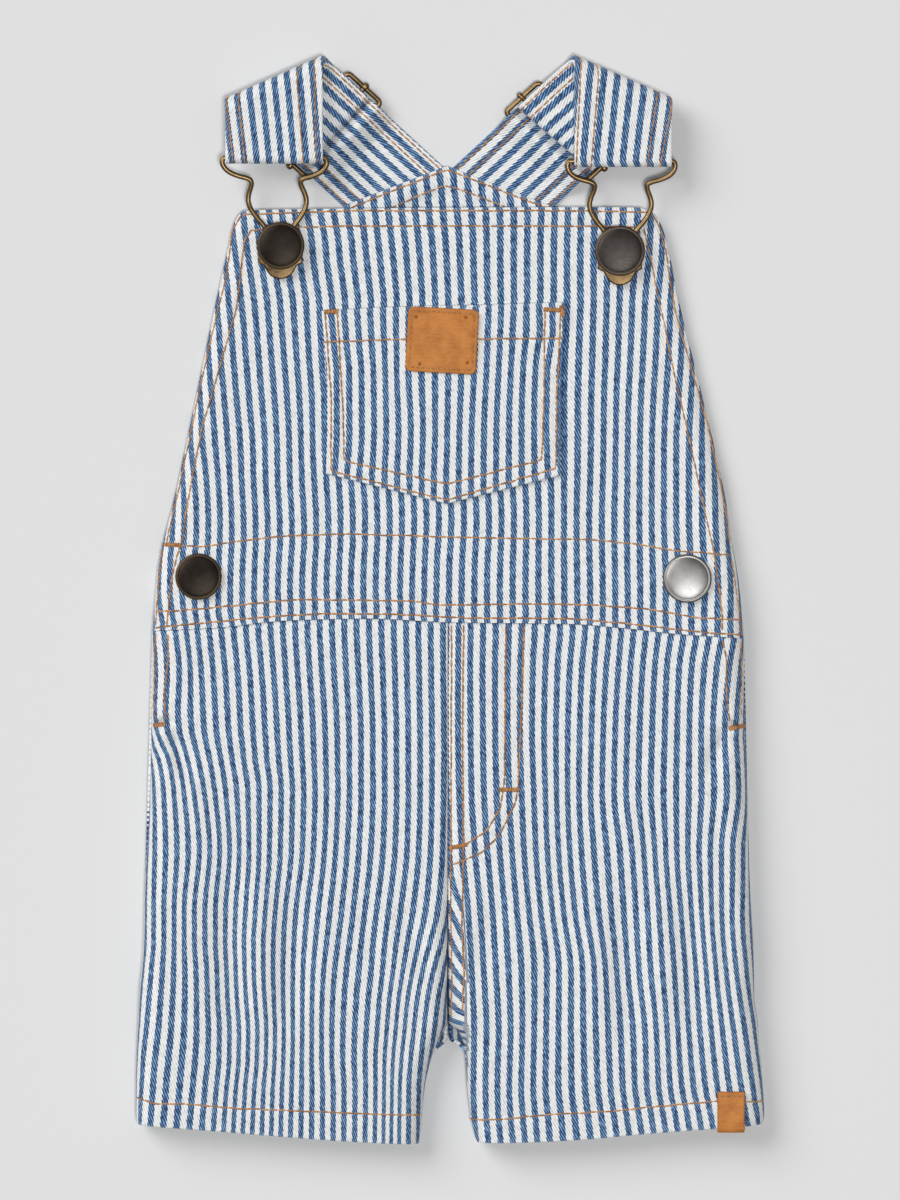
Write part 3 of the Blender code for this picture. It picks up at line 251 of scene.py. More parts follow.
LEFT_STRIPES = Stripes((36, 40, 44, 48, 52, 56, 60), [
    (-12.0, -5.7, 12.2, 31.3, 49.9, 67.8, 86.5, 105.6),
    (-25.9, -6.0, 12.0, 30.6, 48.7, 66.6, 84.6, 103.1),
    (-48.1, -6.2, 12.15, 30.3, 47.9, 65.45, 83.9, 101.5),
    (-70.3, -5.8, 12.5, 30.9, 47.6, 65.0, 83.5, 102.2),
    (-92.5, -4.9, 13.8, 31.7, 48.5, 67.2, 83.7, 100.2),
    (-114.7, -2.4, 15.7, 33.5, 50.35, 68.6, 85.2, 100.3),
    (-136.9, -0.8, 16.95, 35.75, 53.2, 69.8, 86.9, 101.9),
    (-159.1, -0.2, 17.95, 35.5, 53.8, 71.95, 88.15, 104.7),
    (-179.8, -0.2, 17.5, 35.25, 54.6, 72.7, 89.9, 107.5),
    (-190.0, 0.2, 17.8, 36.1, 55.8, 74.2, 91.9, 109.2),
    (-201.0, 0.6, 18.8, 37.0, 57.2, 75.9, 93.6, 111.6),
])
BACK_STRIPES = Stripes((12, 36, 60), [
    (165.0, -111.0, -1.6, 108.0),
    (-205.0, -111.0, -1.6, 108.0),
])

# The strip by the crotch seam, whose stripes turn down to the right: y, the stripe's number at
# STRIP_X, and how fast the number grows across
STRIP_X = 2.2
STRIP_ROWS = [
    (-88.0, 37.77, 0.215), (-100.0, 37.45, 0.213), (-108.4, 37.0, 0.207), (-119.1, 36.0, 0.203),
    (-129.5, 35.0, 0.20), (-137.6, 34.0, 0.18), (-144.7, 33.0, 0.16), (-151.0, 32.0, 0.13),
    (-155.8, 31.0, 0.077), (-159.2, 30.0, 0.05), (-161.8, 29.0, 0.03), (-164.4, 28.0, 0.02),
    (-170.0, 26.0, 0.02),
]
STRIP_EDGE = [(-165.0, 6.3), (-140.0, 6.1), (-120.0, 5.4), (-104.0, 4.8)]

# Lines of stitching, as (x, y)
STITCHES = {
    "bib": [
        [(-77.3, 142.4), (-80.6, 137.3), (-83.0, 119.5), (-85.6, 108.8), (-89.2, 94.0), (-92.9, 77.3),
         (-96.6, 59.2), (-100.1, 42.5), (-103.1, 29.6), (-104.9, 21.1)],
        [(-73.6, 137.3), (-76.2, 133.2), (-79.1, 108.0), (-84.1, 90.7), (-87.2, 79.2), (-91.8, 64.4),
         (-95.1, 47.0), (-97.3, 35.5), (-98.8, 23.3), (-101.4, 14.8), (-103.2, 5.5), (-104.3, -4.8),
         (-104.7, -9.6)],
        [(75.3, 142.1), (77.3, 139.0), (79.7, 130.6), (81.9, 115.8), (83.6, 106.2), (88.0, 90.7),
         (92.4, 75.8), (96.7, 59.2), (100.2, 42.5), (102.6, 29.6), (103.6, 21.1)],
        [(71.8, 137.6), (74.4, 126.5), (76.2, 116.9), (79.3, 102.9), (82.7, 85.5), (86.2, 70.3),
         (89.7, 54.8), (93.2, 38.1), (96.6, 22.6), (98.4, 12.9), (99.5, 4.8), (100.6, -6.3),
         (100.6, -11.3)],
        [(-77.1, 142.6), (-65.9, 143.2), (-36.3, 144.2), (3.7, 144.2), (22.2, 144.2), (48.8, 144.2),
         (75.1, 143.6)],
        [(-73.6, 137.1), (-53.6, 138.2), (-36.3, 138.6), (3.7, 138.6), (52.2, 138.6), (71.4, 138.2)],
        [(-106.9, 20.4), (-91.8, 19.6), (-79.9, 21.5), (-60.7, 23.7), (-38.1, 24.4), (-14.1, 23.7),
         (-3.7, 23.3), (52.5, 22.2), (68.5, 20.7), (84.4, 18.1), (104.2, 16.6)],
        [(-109.0, -4.4), (-91.8, -3.3), (-70.3, -1.1), (-58.1, 0.0), (-38.1, 0.0), (-14.1, -0.4),
         (-3.7, -1.9), (32.6, -1.5), (52.5, -1.9), (72.5, -3.3), (92.5, -6.7), (107.6, -7.4)],
        [(-109.2, -10.2), (-91.8, -8.6), (-70.3, -6.4), (-46.2, -5.0), (-22.2, -5.2), (7.4, -6.7),
         (44.4, -6.9), (64.4, -8.6), (84.4, -10.9), (96.6, -12.2), (108.2, -12.8)],
        [(-106.6, 18.8), (-107.6, 8.0), (-108.4, -2.0), (-108.9, -9.4)],
        [(104.2, 14.8), (105.4, 6.0), (106.8, -4.0), (107.5, -12.0)],
    ],
    "yoke": [
        [(-37.0, 145.3), (-26.6, 149.6), (-1.1, 159.7), (28.0, 148.3), (37.7, 145.0)],
        [(-22.5, 145.2), (-12.2, 149.7), (-1.9, 153.9), (7.4, 151.1), (21.5, 145.3)],
    ],
    "left_leg": [
        [(0.6, -9.2), (0.4, -49.6), (0.4, -89.9), (0.3, -103.6), (0.4, -120.2), (0.9, -143.2), (0.6, -154.0)],
        [(5.0, -9.2), (4.6, -49.6), (5.0, -89.9), (4.8, -103.6), (4.4, -120.2), (5.2, -138.0), (4.6, -152.0)],
        [(20.7, -9.4), (20.4, -35.5), (20.0, -68.1), (18.5, -77.0), (13.7, -85.1), (5.2, -90.7)],
        [(27.4, -9.4), (26.6, -35.5), (25.2, -68.1), (24.1, -75.1), (18.1, -87.0), (11.8, -93.2),
         (1.1, -97.7)],
        [(100.6, -14.8), (102.1, -21.1), (102.1, -32.9), (103.2, -44.8)],
        [(107.3, -15.2), (107.8, -21.1), (107.9, -28.1), (107.6, -42.9)],
        [(7.4, -192.0), (17.4, -192.0), (34.0, -190.2), (60.3, -188.7), (79.2, -186.8),
         (98.8, -185.0), (116.0, -185.4)],
    ],
    "right_leg": [
        [(-104.3, -12.6), (-104.0, -21.1), (-105.8, -37.7), (-104.7, -44.0)],
        [(-108.8, -12.6), (-109.2, -22.2), (-109.6, -37.0), (-109.4, -43.7)],
        [(-116.0, -183.9), (-108.8, -186.1), (-96.9, -186.1), (-81.0, -187.6), (-55.9, -188.7),
         (-18.5, -190.2), (-10.7, -190.2)],
    ],
    "pocket": [
        [(-46.9, 95.5), (-16.6, 96.6), (11.1, 96.6), (41.6, 96.9)],
        [(-46.2, 106.2), (-44.0, 75.8), (-44.0, 47.7), (-1.1, 37.0), (39.2, 48.7), (39.6, 75.8),
         (41.1, 109.2)],
        [(-41.8, 107.0), (-41.1, 95.8), (-39.6, 68.8), (-39.2, 51.4), (-1.1, 42.9), (34.0, 51.8),
         (34.8, 75.8), (35.1, 106.9)],
    ],
}

# Bar tacks, as (x0, y0, x1, y1)
TACKS = {
    "bib": [(-105.4, 20.5, -99.6, 20.3)],
    "right_leg": [(-109.6, -46.4, -105.2, -45.8)],
    "left_leg": [(18.0, -70.0, 25.8, -70.0), (-0.2, -91.6, 6.6, -90.2), (103.0, -47.6, 109.0, -46.4)],
    "pocket": [(-46.6, 106.6, -41.2, 106.8), (34.6, 107.6, 42.0, 107.2), (41.2, 109.0, 42.0, 104.8)],
}


# Numbers and curves

def smooth_curve(points, x):
    """The values at x of a smooth curve through the points, with no overshoot between them."""
    points = sorted(points)
    xs = np.array([p[0] for p in points], float)
    values = np.array([p[1] for p in points], float)
    slopes = np.diff(values) / np.diff(xs)
    tangents = np.concatenate([slopes[:1], np.zeros(len(slopes) - 1), slopes[-1:]])
    if len(slopes) > 1:
        product = slopes[:-1] * slopes[1:]
        total = np.where(product > 0, slopes[:-1] + slopes[1:], 1.0)
        tangents[1:-1] = np.where(product > 0, 2 * product / total, 0.0)
    x = np.clip(np.asarray(x, float), xs[0], xs[-1])
    i = np.clip(np.searchsorted(xs, x, side="right") - 1, 0, len(xs) - 2)
    span = xs[i + 1] - xs[i]
    t = (x - xs[i]) / span
    return (
        values[i] * (1 + 2 * t) * (1 - t) ** 2
        + values[i + 1] * t * t * (3 - 2 * t)
        + span * (tangents[i] * t * (1 - t) ** 2 - tangents[i + 1] * t * t * (1 - t))
    )


def smoothstep(t):
    t = np.clip(t, 0.0, 1.0)
    return t * t * (3 - 2 * t)


def bump(t):
    """One soft hump, 1 in the middle and 0 from 1 outwards."""
    return smoothstep(1 - np.abs(t))


def fold_height(folds, x, y):
    total = np.zeros_like(x)
    for fold in folds:
        dx = fold.x1 - fold.x0
        dy = fold.y1 - fold.y0
        length = math.hypot(dx, dy)
        along = ((x - fold.x0) * dx + (y - fold.y0) * dy) / length
        across = ((x - fold.x0) * dy - (y - fold.y0) * dx) / length
        end = smoothstep(along / (0.35 * length)) * smoothstep((length - along) / (0.35 * length))
        total = total + fold.depth * end * np.exp(-((across / fold.width) ** 2))
    return total


def ripple(x, y, seed, size):
    """A gentle unevenness of cloth, about 1 high and of the given size across."""
    angles = np.random.default_rng(seed).uniform(0, 2 * math.pi, (5, 3))
    total = np.zeros_like(x)
    for k, (turn, start, tilt) in enumerate(angles):
        reach = size * (0.7 + 0.25 * k)
        total = total + np.sin((x * math.cos(turn) + y * math.sin(turn)) * 2 * math.pi / reach + start + tilt)
    return total / 5


def near_line(points, x, y):
    """Distance from a line, the side that a point lies on, and the distance along it."""
    best = np.full(x.shape, 1e9)
    side = np.zeros_like(x)
    along = np.zeros_like(x)
    done = 0.0
    for (x0, y0), (x1, y1) in zip(points, points[1:]):
        dx, dy = x1 - x0, y1 - y0
        length = math.hypot(dx, dy)
        t = np.clip(((x - x0) * dx + (y - y0) * dy) / length ** 2, 0, 1)
        distance = np.hypot(x - x0 - t * dx, y - y0 - t * dy)
        closer = distance < best
        best = np.where(closer, distance, best)
        side = np.where(closer, np.sign((x - x0) * dy - (y - y0) * dx), side)
        along = np.where(closer, done + t * length, along)
        done += length
    return best, side, along


def stitch_troughs(lines, x, y):
    """The dent that each row of stitching makes, a little deeper between some stitches."""
    total = np.zeros_like(x)
    for points in lines:
        distance, _, along = near_line(points, x, y)
        uneven = 0.75 + 0.25 * np.sin(along * 2 * math.pi / 11.0) * np.sin(along * 2 * math.pi / 29.0 + 1.0)
        total = total - 0.30 * uneven * np.exp(-((distance / 0.9) ** 2))
    return total


def stripe_number(stripes, x, y):
    """Which stripe a point lies on: whole numbers are the middles of the blue ones."""
    ys = [row[0] for row in stripes.rows]
    columns = zip(*[row[1:] for row in stripes.rows])
    lines = np.stack([smooth_curve(list(zip(ys, column)), y) for column in columns], axis=-1)
    numbers = np.array(stripes.numbers, float)
    slopes = np.diff(numbers) / np.diff(lines, axis=-1)
    middle = 2 * slopes[..., :-1] * slopes[..., 1:] / (slopes[..., :-1] + slopes[..., 1:])
    tangents = np.concatenate([slopes[..., :1], middle, slopes[..., -1:]], axis=-1)
    i = np.clip((lines <= x[..., None]).sum(axis=-1) - 1, 0, len(numbers) - 2)

    def pick(array, k):
        return np.take_along_axis(array, k[..., None], axis=-1)[..., 0]

    x0, x1 = pick(lines, i), pick(lines, i + 1)
    m0, m1 = pick(tangents, i), pick(tangents, i + 1)
    span = x1 - x0
    t = (x - x0) / span
    inside = (
        numbers[i] * (1 + 2 * t) * (1 - t) ** 2 + numbers[i + 1] * t * t * (3 - 2 * t)
        + span * (m0 * t * (1 - t) ** 2 - m1 * t * t * (1 - t))
    )
    before = numbers[i] + (x - x0) * m0
    after = numbers[i + 1] + (x - x1) * m1
    return np.where(t < 0, before, np.where(t > 1, after, inside))


# Cloth panels

class Panel:
    """A laid-out piece of cloth: its outline, and the height of its outer face above the floor."""

    def __init__(self, sections, upper, lower, folds=(), lift=None, detail=None):
        self.sections = sorted(sections, key=lambda row: row.y)
        self.upper = upper
        self.lower = lower
        self.folds = folds
        self.lift = lift
        self.detail = detail

    def value(self, key, y):
        return smooth_curve([(row.y, getattr(row, key)) for row in self.sections], y)

    def edge_curve(self, y, side):
        start = np.radians(90 - self.value(side + "_tip", y))
        return self.value(side, y), self.value(side + "_roll", y), self.value(side + "_z", y), start

    def height(self, x, y, fine=True):
        """The height of the outer face, with or without its creases, seams and hems."""
        left, left_roll, left_z, left_start = self.edge_curve(y, "left")
        right, right_roll, right_z, right_start = self.edge_curve(y, "right")
        top = self.value("top", y)
        fade = np.minimum(
            smoothstep(FOLD_REACH * (x - left) / left_roll),
            smoothstep(FOLD_REACH * (right - x) / right_roll),
        )
        z = top + fold_height(self.folds, x, y) * fade
        for depth, roll, edge_z, start in (
            (x - left, left_roll, left_z, left_start),
            (right - x, right_roll, right_z, right_start),
        ):
            turned = np.arccos(np.clip(np.cos(start) * (1 - np.clip(depth, 0, None) / roll), -1, 1))
            rise = (np.sin(turned) - np.sin(start)) / np.maximum(1 - np.sin(start), 1e-6)
            z = z + np.where(depth < roll, (edge_z - top) * (1 - rise), 0.0)
        if self.lift:
            z = z + self.lift(x, y)
        if fine and self.detail:
            z = z + self.detail(x, y)
        return z

    def columns(self, y, shares, rolls):
        """The x positions across a row: shares of the round edges, then of what lies between."""
        left, left_roll, _, left_start = self.edge_curve(y, "left")
        right, right_roll, _, right_start = self.edge_curve(y, "right")

        def offset(roll, start):
            angle = start[:, None] + rolls[None, :] * (math.pi / 2 - start[:, None])
            return roll[:, None] * (np.cos(start)[:, None] - np.cos(angle)) / np.cos(start)[:, None]

        from_left = left[:, None] + offset(left_roll, left_start)
        from_right = right[:, None] - offset(right_roll, right_start)[:, ::-1]
        start, end = from_left[:, -1:], from_right[:, :1]
        return np.concatenate([from_left, start + (end - start) * shares[None, :], from_right], axis=1)

    def grid(self, step):
        """Points (x, y) of the outer face, row by row from the upper curve to the lower one."""
        middle_x = float(self.value("left", 0.0) + self.value("right", 0.0)) / 2
        top_y, low_y = float(self.upper(middle_x)), float(self.lower(middle_x))
        long = top_y - low_y
        wide = float(np.max(self.value("right", np.linspace(low_y, top_y, 9))
                            - self.value("left", np.linspace(low_y, top_y, 9))))
        lips = np.array([0.0, 0.08, 0.3, 0.62, 1.0]) * LIP / long
        count = int(long / step)
        rows = np.concatenate([lips, np.linspace(lips[-1], 1 - lips[-1], count)[1:-1], 1 - lips[::-1]])
        rolls = np.linspace(0, 1, max(4, int(9 / step) + 1))
        shares = np.linspace(0, 1, int(wide / step) - len(rolls))[1:-1]
        ys = np.repeat((top_y * (1 - rows) + low_y * rows)[:, None], len(shares) + 2 * len(rolls), axis=1)
        for _ in range(3):
            xs = np.stack([
                self.columns(ys[:, j], shares, rolls)[:, j] for j in range(ys.shape[1])
            ], axis=1) if np.ptp(ys, axis=1).max() > 1e-6 else self.columns(ys[:, 0], shares, rolls)
            ys = self.upper(xs) * (1 - rows[:, None]) + self.lower(xs) * rows[:, None]
        return xs, ys, len(rolls)


def curve(points, shift=0.0):
    return lambda x: smooth_curve(points, x) + shift


def yoke_edge(x):
    return YOKE_APEX[1] - YOKE_SLOPE * np.abs(x - YOKE_APEX[0])


def yoke_lift(x, y):
    near, far = YOKE_LIFTED
    below = yoke_edge(x) - y
    return (STRAP_THICK + GAP) * smoothstep((far - below) / (far - near))


def front_sections(side):
    sections = []
    for row in LEGS:
        if side == "right":
            sections.append(Section(
                row.y, row.right_outer, row.right_inner, row.top,
                SEAM_HEIGHT, row.seam_z, SIDE_ROLL, row.roll, 90, row.tip,
            ))
        else:
            sections.append(Section(
                row.y, row.left_inner, row.left_outer, row.top,
                row.seam_z, SEAM_HEIGHT, row.roll, SIDE_ROLL, row.tip, 90,
            ))
    return sections


def back_sections(side):
    edge = SEAM_HEIGHT - GAP
    sections = []
    for row in BACKS:
        if side == "right":
            sections.append(Section(
                row.y, row.right_outer, row.right_inner, 0.0,
                edge, row.seam_z, SIDE_ROLL, row.roll, 90, row.tip,
            ))
        else:
            sections.append(Section(
                row.y, row.left_inner, row.left_outer, 0.0,
                row.seam_z, edge, row.roll, SIDE_ROLL, row.tip, 90,
            ))
    return sections


# Shader maths

class Value:
    """A socket of a finish, so that its maths is written as ordinary expressions."""

    def __init__(self, finish, socket):
        self.finish = finish
        self.socket = socket

    def _math(self, operation, *values, clamp=False):
        sockets = [self, *values]
        return self.finish.node(
            "ShaderNodeMath", {"operation": operation, "use_clamp": clamp}, dict(enumerate(sockets)),
        )

    def __add__(self, other): return self._math("ADD", other)
    def __mul__(self, other): return self._math("MULTIPLY", other)
    def __sub__(self, other): return self._math("SUBTRACT", other)
    def __truediv__(self, other): return self._math("DIVIDE", other)
    def __radd__(self, other): return self + other
    def __rmul__(self, other): return self * other
    def __rsub__(self, other): return (self * -1.0) + other

    def sine(self): return self._math("SINE")
    def size(self): return self._math("ABSOLUTE")
    def fraction(self): return self._math("FRACT")
    def most(self, other): return self._math("MAXIMUM", other)
    def clamp(self): return self._math("ADD", 0.0, clamp=True)

    def between(self, low, high):
        """0 below low, 1 above high, and smooth between."""
        t = ((self - low) * (1.0 / (high - low))).clamp()
        return t * t * (3.0 - t * 2.0)


class Finish:
    """A procedural material on one Principled shader."""

    def __init__(self, name, roughness, metallic=0.0, specular=0.5, sheen=0.0, sheen_roughness=0.5):
        self.material = bpy.data.materials.new(name)
        self.material.use_nodes = True
        self.tree = self.material.node_tree
        self.shader = self.tree.nodes["Principled BSDF"]
        self.shader.inputs["Roughness"].default_value = roughness
        self.shader.inputs["Metallic"].default_value = metallic
        self.shader.inputs["Specular IOR Level"].default_value = specular
        self.shader.inputs["Sheen Weight"].default_value = sheen
        self.shader.inputs["Sheen Roughness"].default_value = sheen_roughness

    def node(self, kind, settings, inputs, output=0):
        """Adds a node: its settings first, then the values or links of its sockets."""
        made = self.tree.nodes.new(kind)
        for key, setting in settings.items():
            if key == "stops":
                ramp = made.color_ramp
                while len(ramp.elements) < len(setting):
                    ramp.elements.new(0.5)
                for element, (place, colour) in zip(ramp.elements, setting):
                    element.position = place
                    element.color = (*colour, 1.0)
            else:
                setattr(made, key, setting)
        for key, value in inputs.items():
            if isinstance(value, Value):
                self.tree.links.new(value.socket, made.inputs[key])
            else:
                made.inputs[key].default_value = value
        return Value(self, made.outputs[output])

    def mix(self, factor, first, second):
        """A colour between two colours."""
        def colour(c):
            return c if isinstance(c, Value) else (*c, 1.0)
        return self.node(
            "ShaderNodeMix", {"data_type": "RGBA", "clamp_factor": True},
            {0: factor, 6: colour(first), 7: colour(second)}, output=2,
        )

    def noise(self, place, scale, detail=2.0, roughness=0.5):
        return self.node(
            "ShaderNodeTexNoise", {},
            {"Vector": place, "Scale": scale, "Detail": detail, "Roughness": roughness},
        )

    def object_place(self):
        return self.node("ShaderNodeTexCoord", {}, {}, output=3)

    def stretched(self, place, scale):
        return self.node("ShaderNodeVectorMath", {"operation": "MULTIPLY"}, {0: place, 1: scale})

    def attribute(self, name):
        return self.node("ShaderNodeAttribute", {"attribute_name": name}, {}, output=2)

    def to(self, socket, value):
        self.tree.links.new(value.socket, self.shader.inputs[socket])

    def bumps(self, height, distance, strength=1.0):
        normal = self.node(
            "ShaderNodeBump", {}, {"Height": height, "Distance": distance, "Strength": strength},
        )
        self.to("Normal", normal)


BLUE_DEEP = (0.020, 0.056, 0.150)
BLUE_PALE = (0.245, 0.450, 0.720)
BLUE_WORN = (0.300, 0.440, 0.620)
WHITE_YARN = (0.880, 0.890, 0.885)
WHITE_SHADE = (0.500, 0.510, 0.500)
TWILL_SLOPE = 2.2        # a twill line falls this much for each step to the right
TWILL_RISE = 2.05        # from one twill line to the next, along a stripe, in millimetres
STREAK = 2.6             # length of the lighter and darker places on a twill line


def striped_denim():
    """Blue and white stripes woven in twill; the weave runs in the piece's own grain."""
    finish = Finish("striped_denim", roughness=0.86, specular=0.22, sheen=0.10, sheen_roughness=0.45)
    grain = finish.node("ShaderNodeUVMap", {"uv_map": "grain"}, {})
    across = finish.node("ShaderNodeSeparateXYZ", {}, {0: grain}, output=0)
    along = finish.node("ShaderNodeSeparateXYZ", {}, {0: grain}, output=1)
    twill = across * (STRIPE * TWILL_SLOPE / TWILL_RISE) + along * (STRIPE / TWILL_RISE)
    run = (across - along * TWILL_SLOPE) * (STRIPE / math.hypot(1.0, TWILL_SLOPE) / STREAK)
    streaks = finish.noise(finish.node("ShaderNodeCombineXYZ", {}, {0: twill * 1.4, 1: run}), 1.0, 2.0, 0.65)
    yarns = finish.noise(finish.stretched(grain, (14.0, 3.2, 1.0)), 1.0, 2.0, 0.6)
    slubs = finish.noise(finish.stretched(grain, (2.6, 0.8, 1.0)), 1.0, 1.5, 0.5)
    cross = finish.noise(finish.stretched(grain, (9.0, 9.0, 1.0)), 2.0, 2.0, 0.7)
    wave = (twill * (2 * math.pi) + yarns * 1.6).sine()
    ridge = wave * 0.5 + 0.5
    edge = wave * 0.030 + (yarns - 0.5) * 0.07 + (streaks - 0.5) * 0.10
    from_blue = ((across + 0.5).fraction() - 0.5).size() + edge
    white = from_blue.between(0.222, 0.272)
    wear = finish.attribute("wear")
    faded = wave * 0.75 + (streaks - 0.5) * 4.4 + (slubs - 0.5) * 0.5 + (cross - 0.5) * 1.2 + 0.05
    blue = finish.mix(faded.clamp(), BLUE_DEEP, BLUE_PALE)
    blue = finish.mix((wear * ((cross - 0.42) * 4.0).clamp()) * 0.75, blue, BLUE_WORN)
    # Painted shade in the twill's grooves on the white stripes, going toward WHITE_SHADE, with random streaks
    # of tone.
    white_unshaded = ridge * 1.10 + (streaks - 0.5) * 2.4 + (cross - 0.5) * 0.8 + 0.38
    pale = finish.mix(white_unshaded.clamp(), WHITE_SHADE, WHITE_YARN)
    finish.to("Base Color", finish.mix(white, blue, pale))
    finish.to("Roughness", 0.94 - ridge * 0.12)
    finish.bumps(ridge * 0.7 + streaks * 0.8 + yarns * 0.3, 0.00018, 0.8)
    return finish.material


def sewing_thread():
    """Tan cotton thread, twisted."""
    finish = Finish("sewing_thread", roughness=0.6, specular=0.3, sheen=0.1)
    grain = finish.node("ShaderNodeUVMap", {"uv_map": "grain"}, {})
    across = finish.node("ShaderNodeSeparateXYZ", {}, {0: grain}, output=0)
    along = finish.node("ShaderNodeSeparateXYZ", {}, {0: grain}, output=1)
    twist = ((along * 4.0 + across) * (2 * math.pi)).sine() * 0.5 + 0.5
    shade = finish.attribute("shade")
    tan = finish.mix(shade, (0.280, 0.108, 0.030), (0.680, 0.345, 0.125))
    tan = finish.mix(twist * 0.35, tan, (0.150, 0.065, 0.026))
    finish.to("Base Color", tan)
    finish.bumps(twist, 0.00005, 0.6)
    return finish.material


def tan_leather():
    """Smooth tanned leather with a fine grain across it, darker at its cut edges."""
    finish = Finish("tan_leather", roughness=0.62, specular=0.22)
    place = finish.object_place()
    grain = finish.noise(finish.stretched(place, (340.0, 1500.0, 340.0)), 1.0, 3.0, 0.6)
    pores = finish.noise(place, 1500.0, 2.0, 0.7)
    clouds = finish.noise(place, 190.0, 3.0, 0.55)
    wear = finish.attribute("wear")
    tan = finish.mix(clouds.between(0.3, 0.7), (0.430, 0.142, 0.026), (0.560, 0.208, 0.042))
    tan = finish.mix(grain.between(0.42, 0.62) * 0.35, tan, (0.640, 0.275, 0.070))
    tan = finish.mix(wear * 0.7, tan, (0.270, 0.095, 0.025))
    finish.to("Base Color", tan)
    finish.to("Roughness", grain * 0.25 + 0.42)
    finish.bumps(grain * 0.7 + pores * 0.4, 0.00012, 0.7)
    return finish.material


def aged_brass():
    """Antique brass in clouds of dark and bright, with a painted highlight where its wires and plate face up
    and painted shade on their sides.
    """
    finish = Finish("aged_brass", roughness=0.36, metallic=1.0)
    place = finish.object_place()
    clouds = finish.noise(place, 260.0, 3.0, 0.6)
    scratches = finish.noise(finish.stretched(place, (2600.0, 500.0, 900.0)), 1.0, 2.0, 0.6)
    wear = finish.attribute("wear")
    # Painted highlight on the tops of the wires and plate and painted shade on their sides, mixed with clouds
    # of darker and brighter brass.
    rubbed_and_highlit = (wear * 0.75 + (clouds - 0.5) * 1.1 + 0.1).clamp()
    brass = finish.mix(rubbed_and_highlit, (0.042, 0.028, 0.014), (0.290, 0.190, 0.090))
    brass = finish.mix(scratches.between(0.60, 0.76) * 0.5, brass, (0.070, 0.046, 0.026))
    finish.to("Base Color", brass)
    finish.to("Roughness", clouds * 0.22 + scratches * 0.12 + 0.22)
    finish.bumps(clouds + scratches * 0.6, 0.00006, 0.5)
    return finish.material


def button_metal(name, dark, light, rim, roughness):
    """Cast metal with a clouded finish and a brighter rolled rim."""
    finish = Finish(name, roughness=roughness, metallic=1.0)
    place = finish.object_place()
    clouds = finish.noise(place, 150.0, 4.0, 0.65)
    fine = finish.noise(place, 1400.0, 2.0, 0.7)
    scratches = finish.noise(finish.stretched(place, (350.0, 2400.0, 600.0)), 1.0, 2.0, 0.6)
    wear = finish.attribute("wear")
    body = finish.mix(clouds.between(0.15, 0.85), dark, light)
    body = finish.mix(scratches.between(0.58, 0.75) * 0.35, body, light)
    body = finish.mix((wear * (fine + 0.5)).clamp(), body, rim)
    finish.to("Base Color", body)
    finish.to("Roughness", clouds * 0.2 + fine * 0.15 + (roughness - 0.15))
    finish.bumps(clouds * 0.5 + fine * 0.5, 0.00005, 0.6)
    return finish.material


def studio_floor():
    finish = Finish("studio_floor", roughness=0.9, specular=0.1)
    cloud = finish.noise(finish.object_place(), 2.0, 2.0, 0.5)
    finish.to("Base Color", finish.mix(cloud, (0.735, 0.735, 0.735), (0.750, 0.750, 0.750)))
    return finish.material


DENIM = striped_denim()
SEWING = sewing_thread()
TAN = tan_leather()
BRASS = aged_brass()
DARK_BUTTON = button_metal(
    "dark_button", (0.014, 0.011, 0.009), (0.034, 0.028, 0.023), (0.120, 0.082, 0.046), 0.44,
)
GREY_BUTTON = button_metal(
    "grey_button", (0.032, 0.028, 0.026), (0.066, 0.058, 0.054), (0.130, 0.092, 0.055), 0.42,
)
PALE_BUTTON = button_metal(
    "pale_button", (0.260, 0.254, 0.248), (0.350, 0.342, 0.336), (0.200, 0.188, 0.176), 0.40,
)


# Meshes

def make_piece(name, points, faces, finish, nodes=(), grain=None, marks=None):
    """A finished piece from its points in millimetres, riding on the body."""
    mesh = bpy.data.meshes.new(name)
    mesh.from_pydata((np.asarray(points) * MM).tolist(), [], faces)
    if grain is not None:
        corners = np.zeros(len(mesh.loops), dtype=np.int32)
        mesh.loops.foreach_get("vertex_index", corners)
        layer = mesh.uv_layers.new(name="grain")
        layer.data.foreach_set("uv", np.asarray(grain, np.float32)[corners].ravel())
    for label, values in (marks or {}).items():
        attribute = mesh.attributes.new(label, "FLOAT", "POINT")
        attribute.data.foreach_set("value", np.asarray(values, np.float32).ravel())
    mesh.validate()
    mesh.shade_smooth()
    mesh.materials.append(finish)
    piece = bpy.data.objects.new(name, mesh)
    bpy.context.scene.collection.objects.link(piece)
    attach(piece, BODY)
    if nodes:
        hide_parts(*nodes)
    return piece


def grid_faces(rows, cols, first=0, flip=False):
    i, j = np.meshgrid(np.arange(rows - 1), np.arange(cols - 1), indexing="ij")
    a = (first + i * cols + j).ravel()
    corners = np.stack([a, a + cols, a + cols + 1, a + 1], axis=1)
    return (corners[:, ::-1] if flip else corners).tolist()


def wall_faces(rows, cols, up):
    """Two grids and the rim between them, facing out."""
    count = rows * cols
    faces = grid_faces(rows, cols, 0, not up) + grid_faces(rows, cols, count, up)
    rim = [(0, j) for j in range(cols)] + [(i, cols - 1) for i in range(1, rows)]
    rim += [(rows - 1, j) for j in range(cols - 2, -1, -1)] + [(i, 0) for i in range(rows - 2, 0, -1)]
    for (i, j), (k, m) in zip(rim, rim[1:] + rim[:1]):
        a, b = i * cols + j, k * cols + m
        faces.append((a, b, count + b, count + a) if up else (a, count + a, count + b, b))
    return faces


def grid_normals(points, up):
    down = np.gradient(points, axis=0, edge_order=2)
    across = np.gradient(points, axis=1, edge_order=2)
    normals = np.cross(down, across)
    normals /= np.maximum(np.linalg.norm(normals, axis=2, keepdims=True), 1e-9)
    middle = normals[normals.shape[0] // 2, normals.shape[1] // 2]
    return normals if middle[2] * up > 0 else -normals


def lip(distance, radius=LIP):
    """How far a round edge falls away at a distance from it."""
    t = np.clip(1 - distance / radius, 0, 1)
    return radius * (1 - np.sqrt(np.maximum(1 - t * t, 0)))


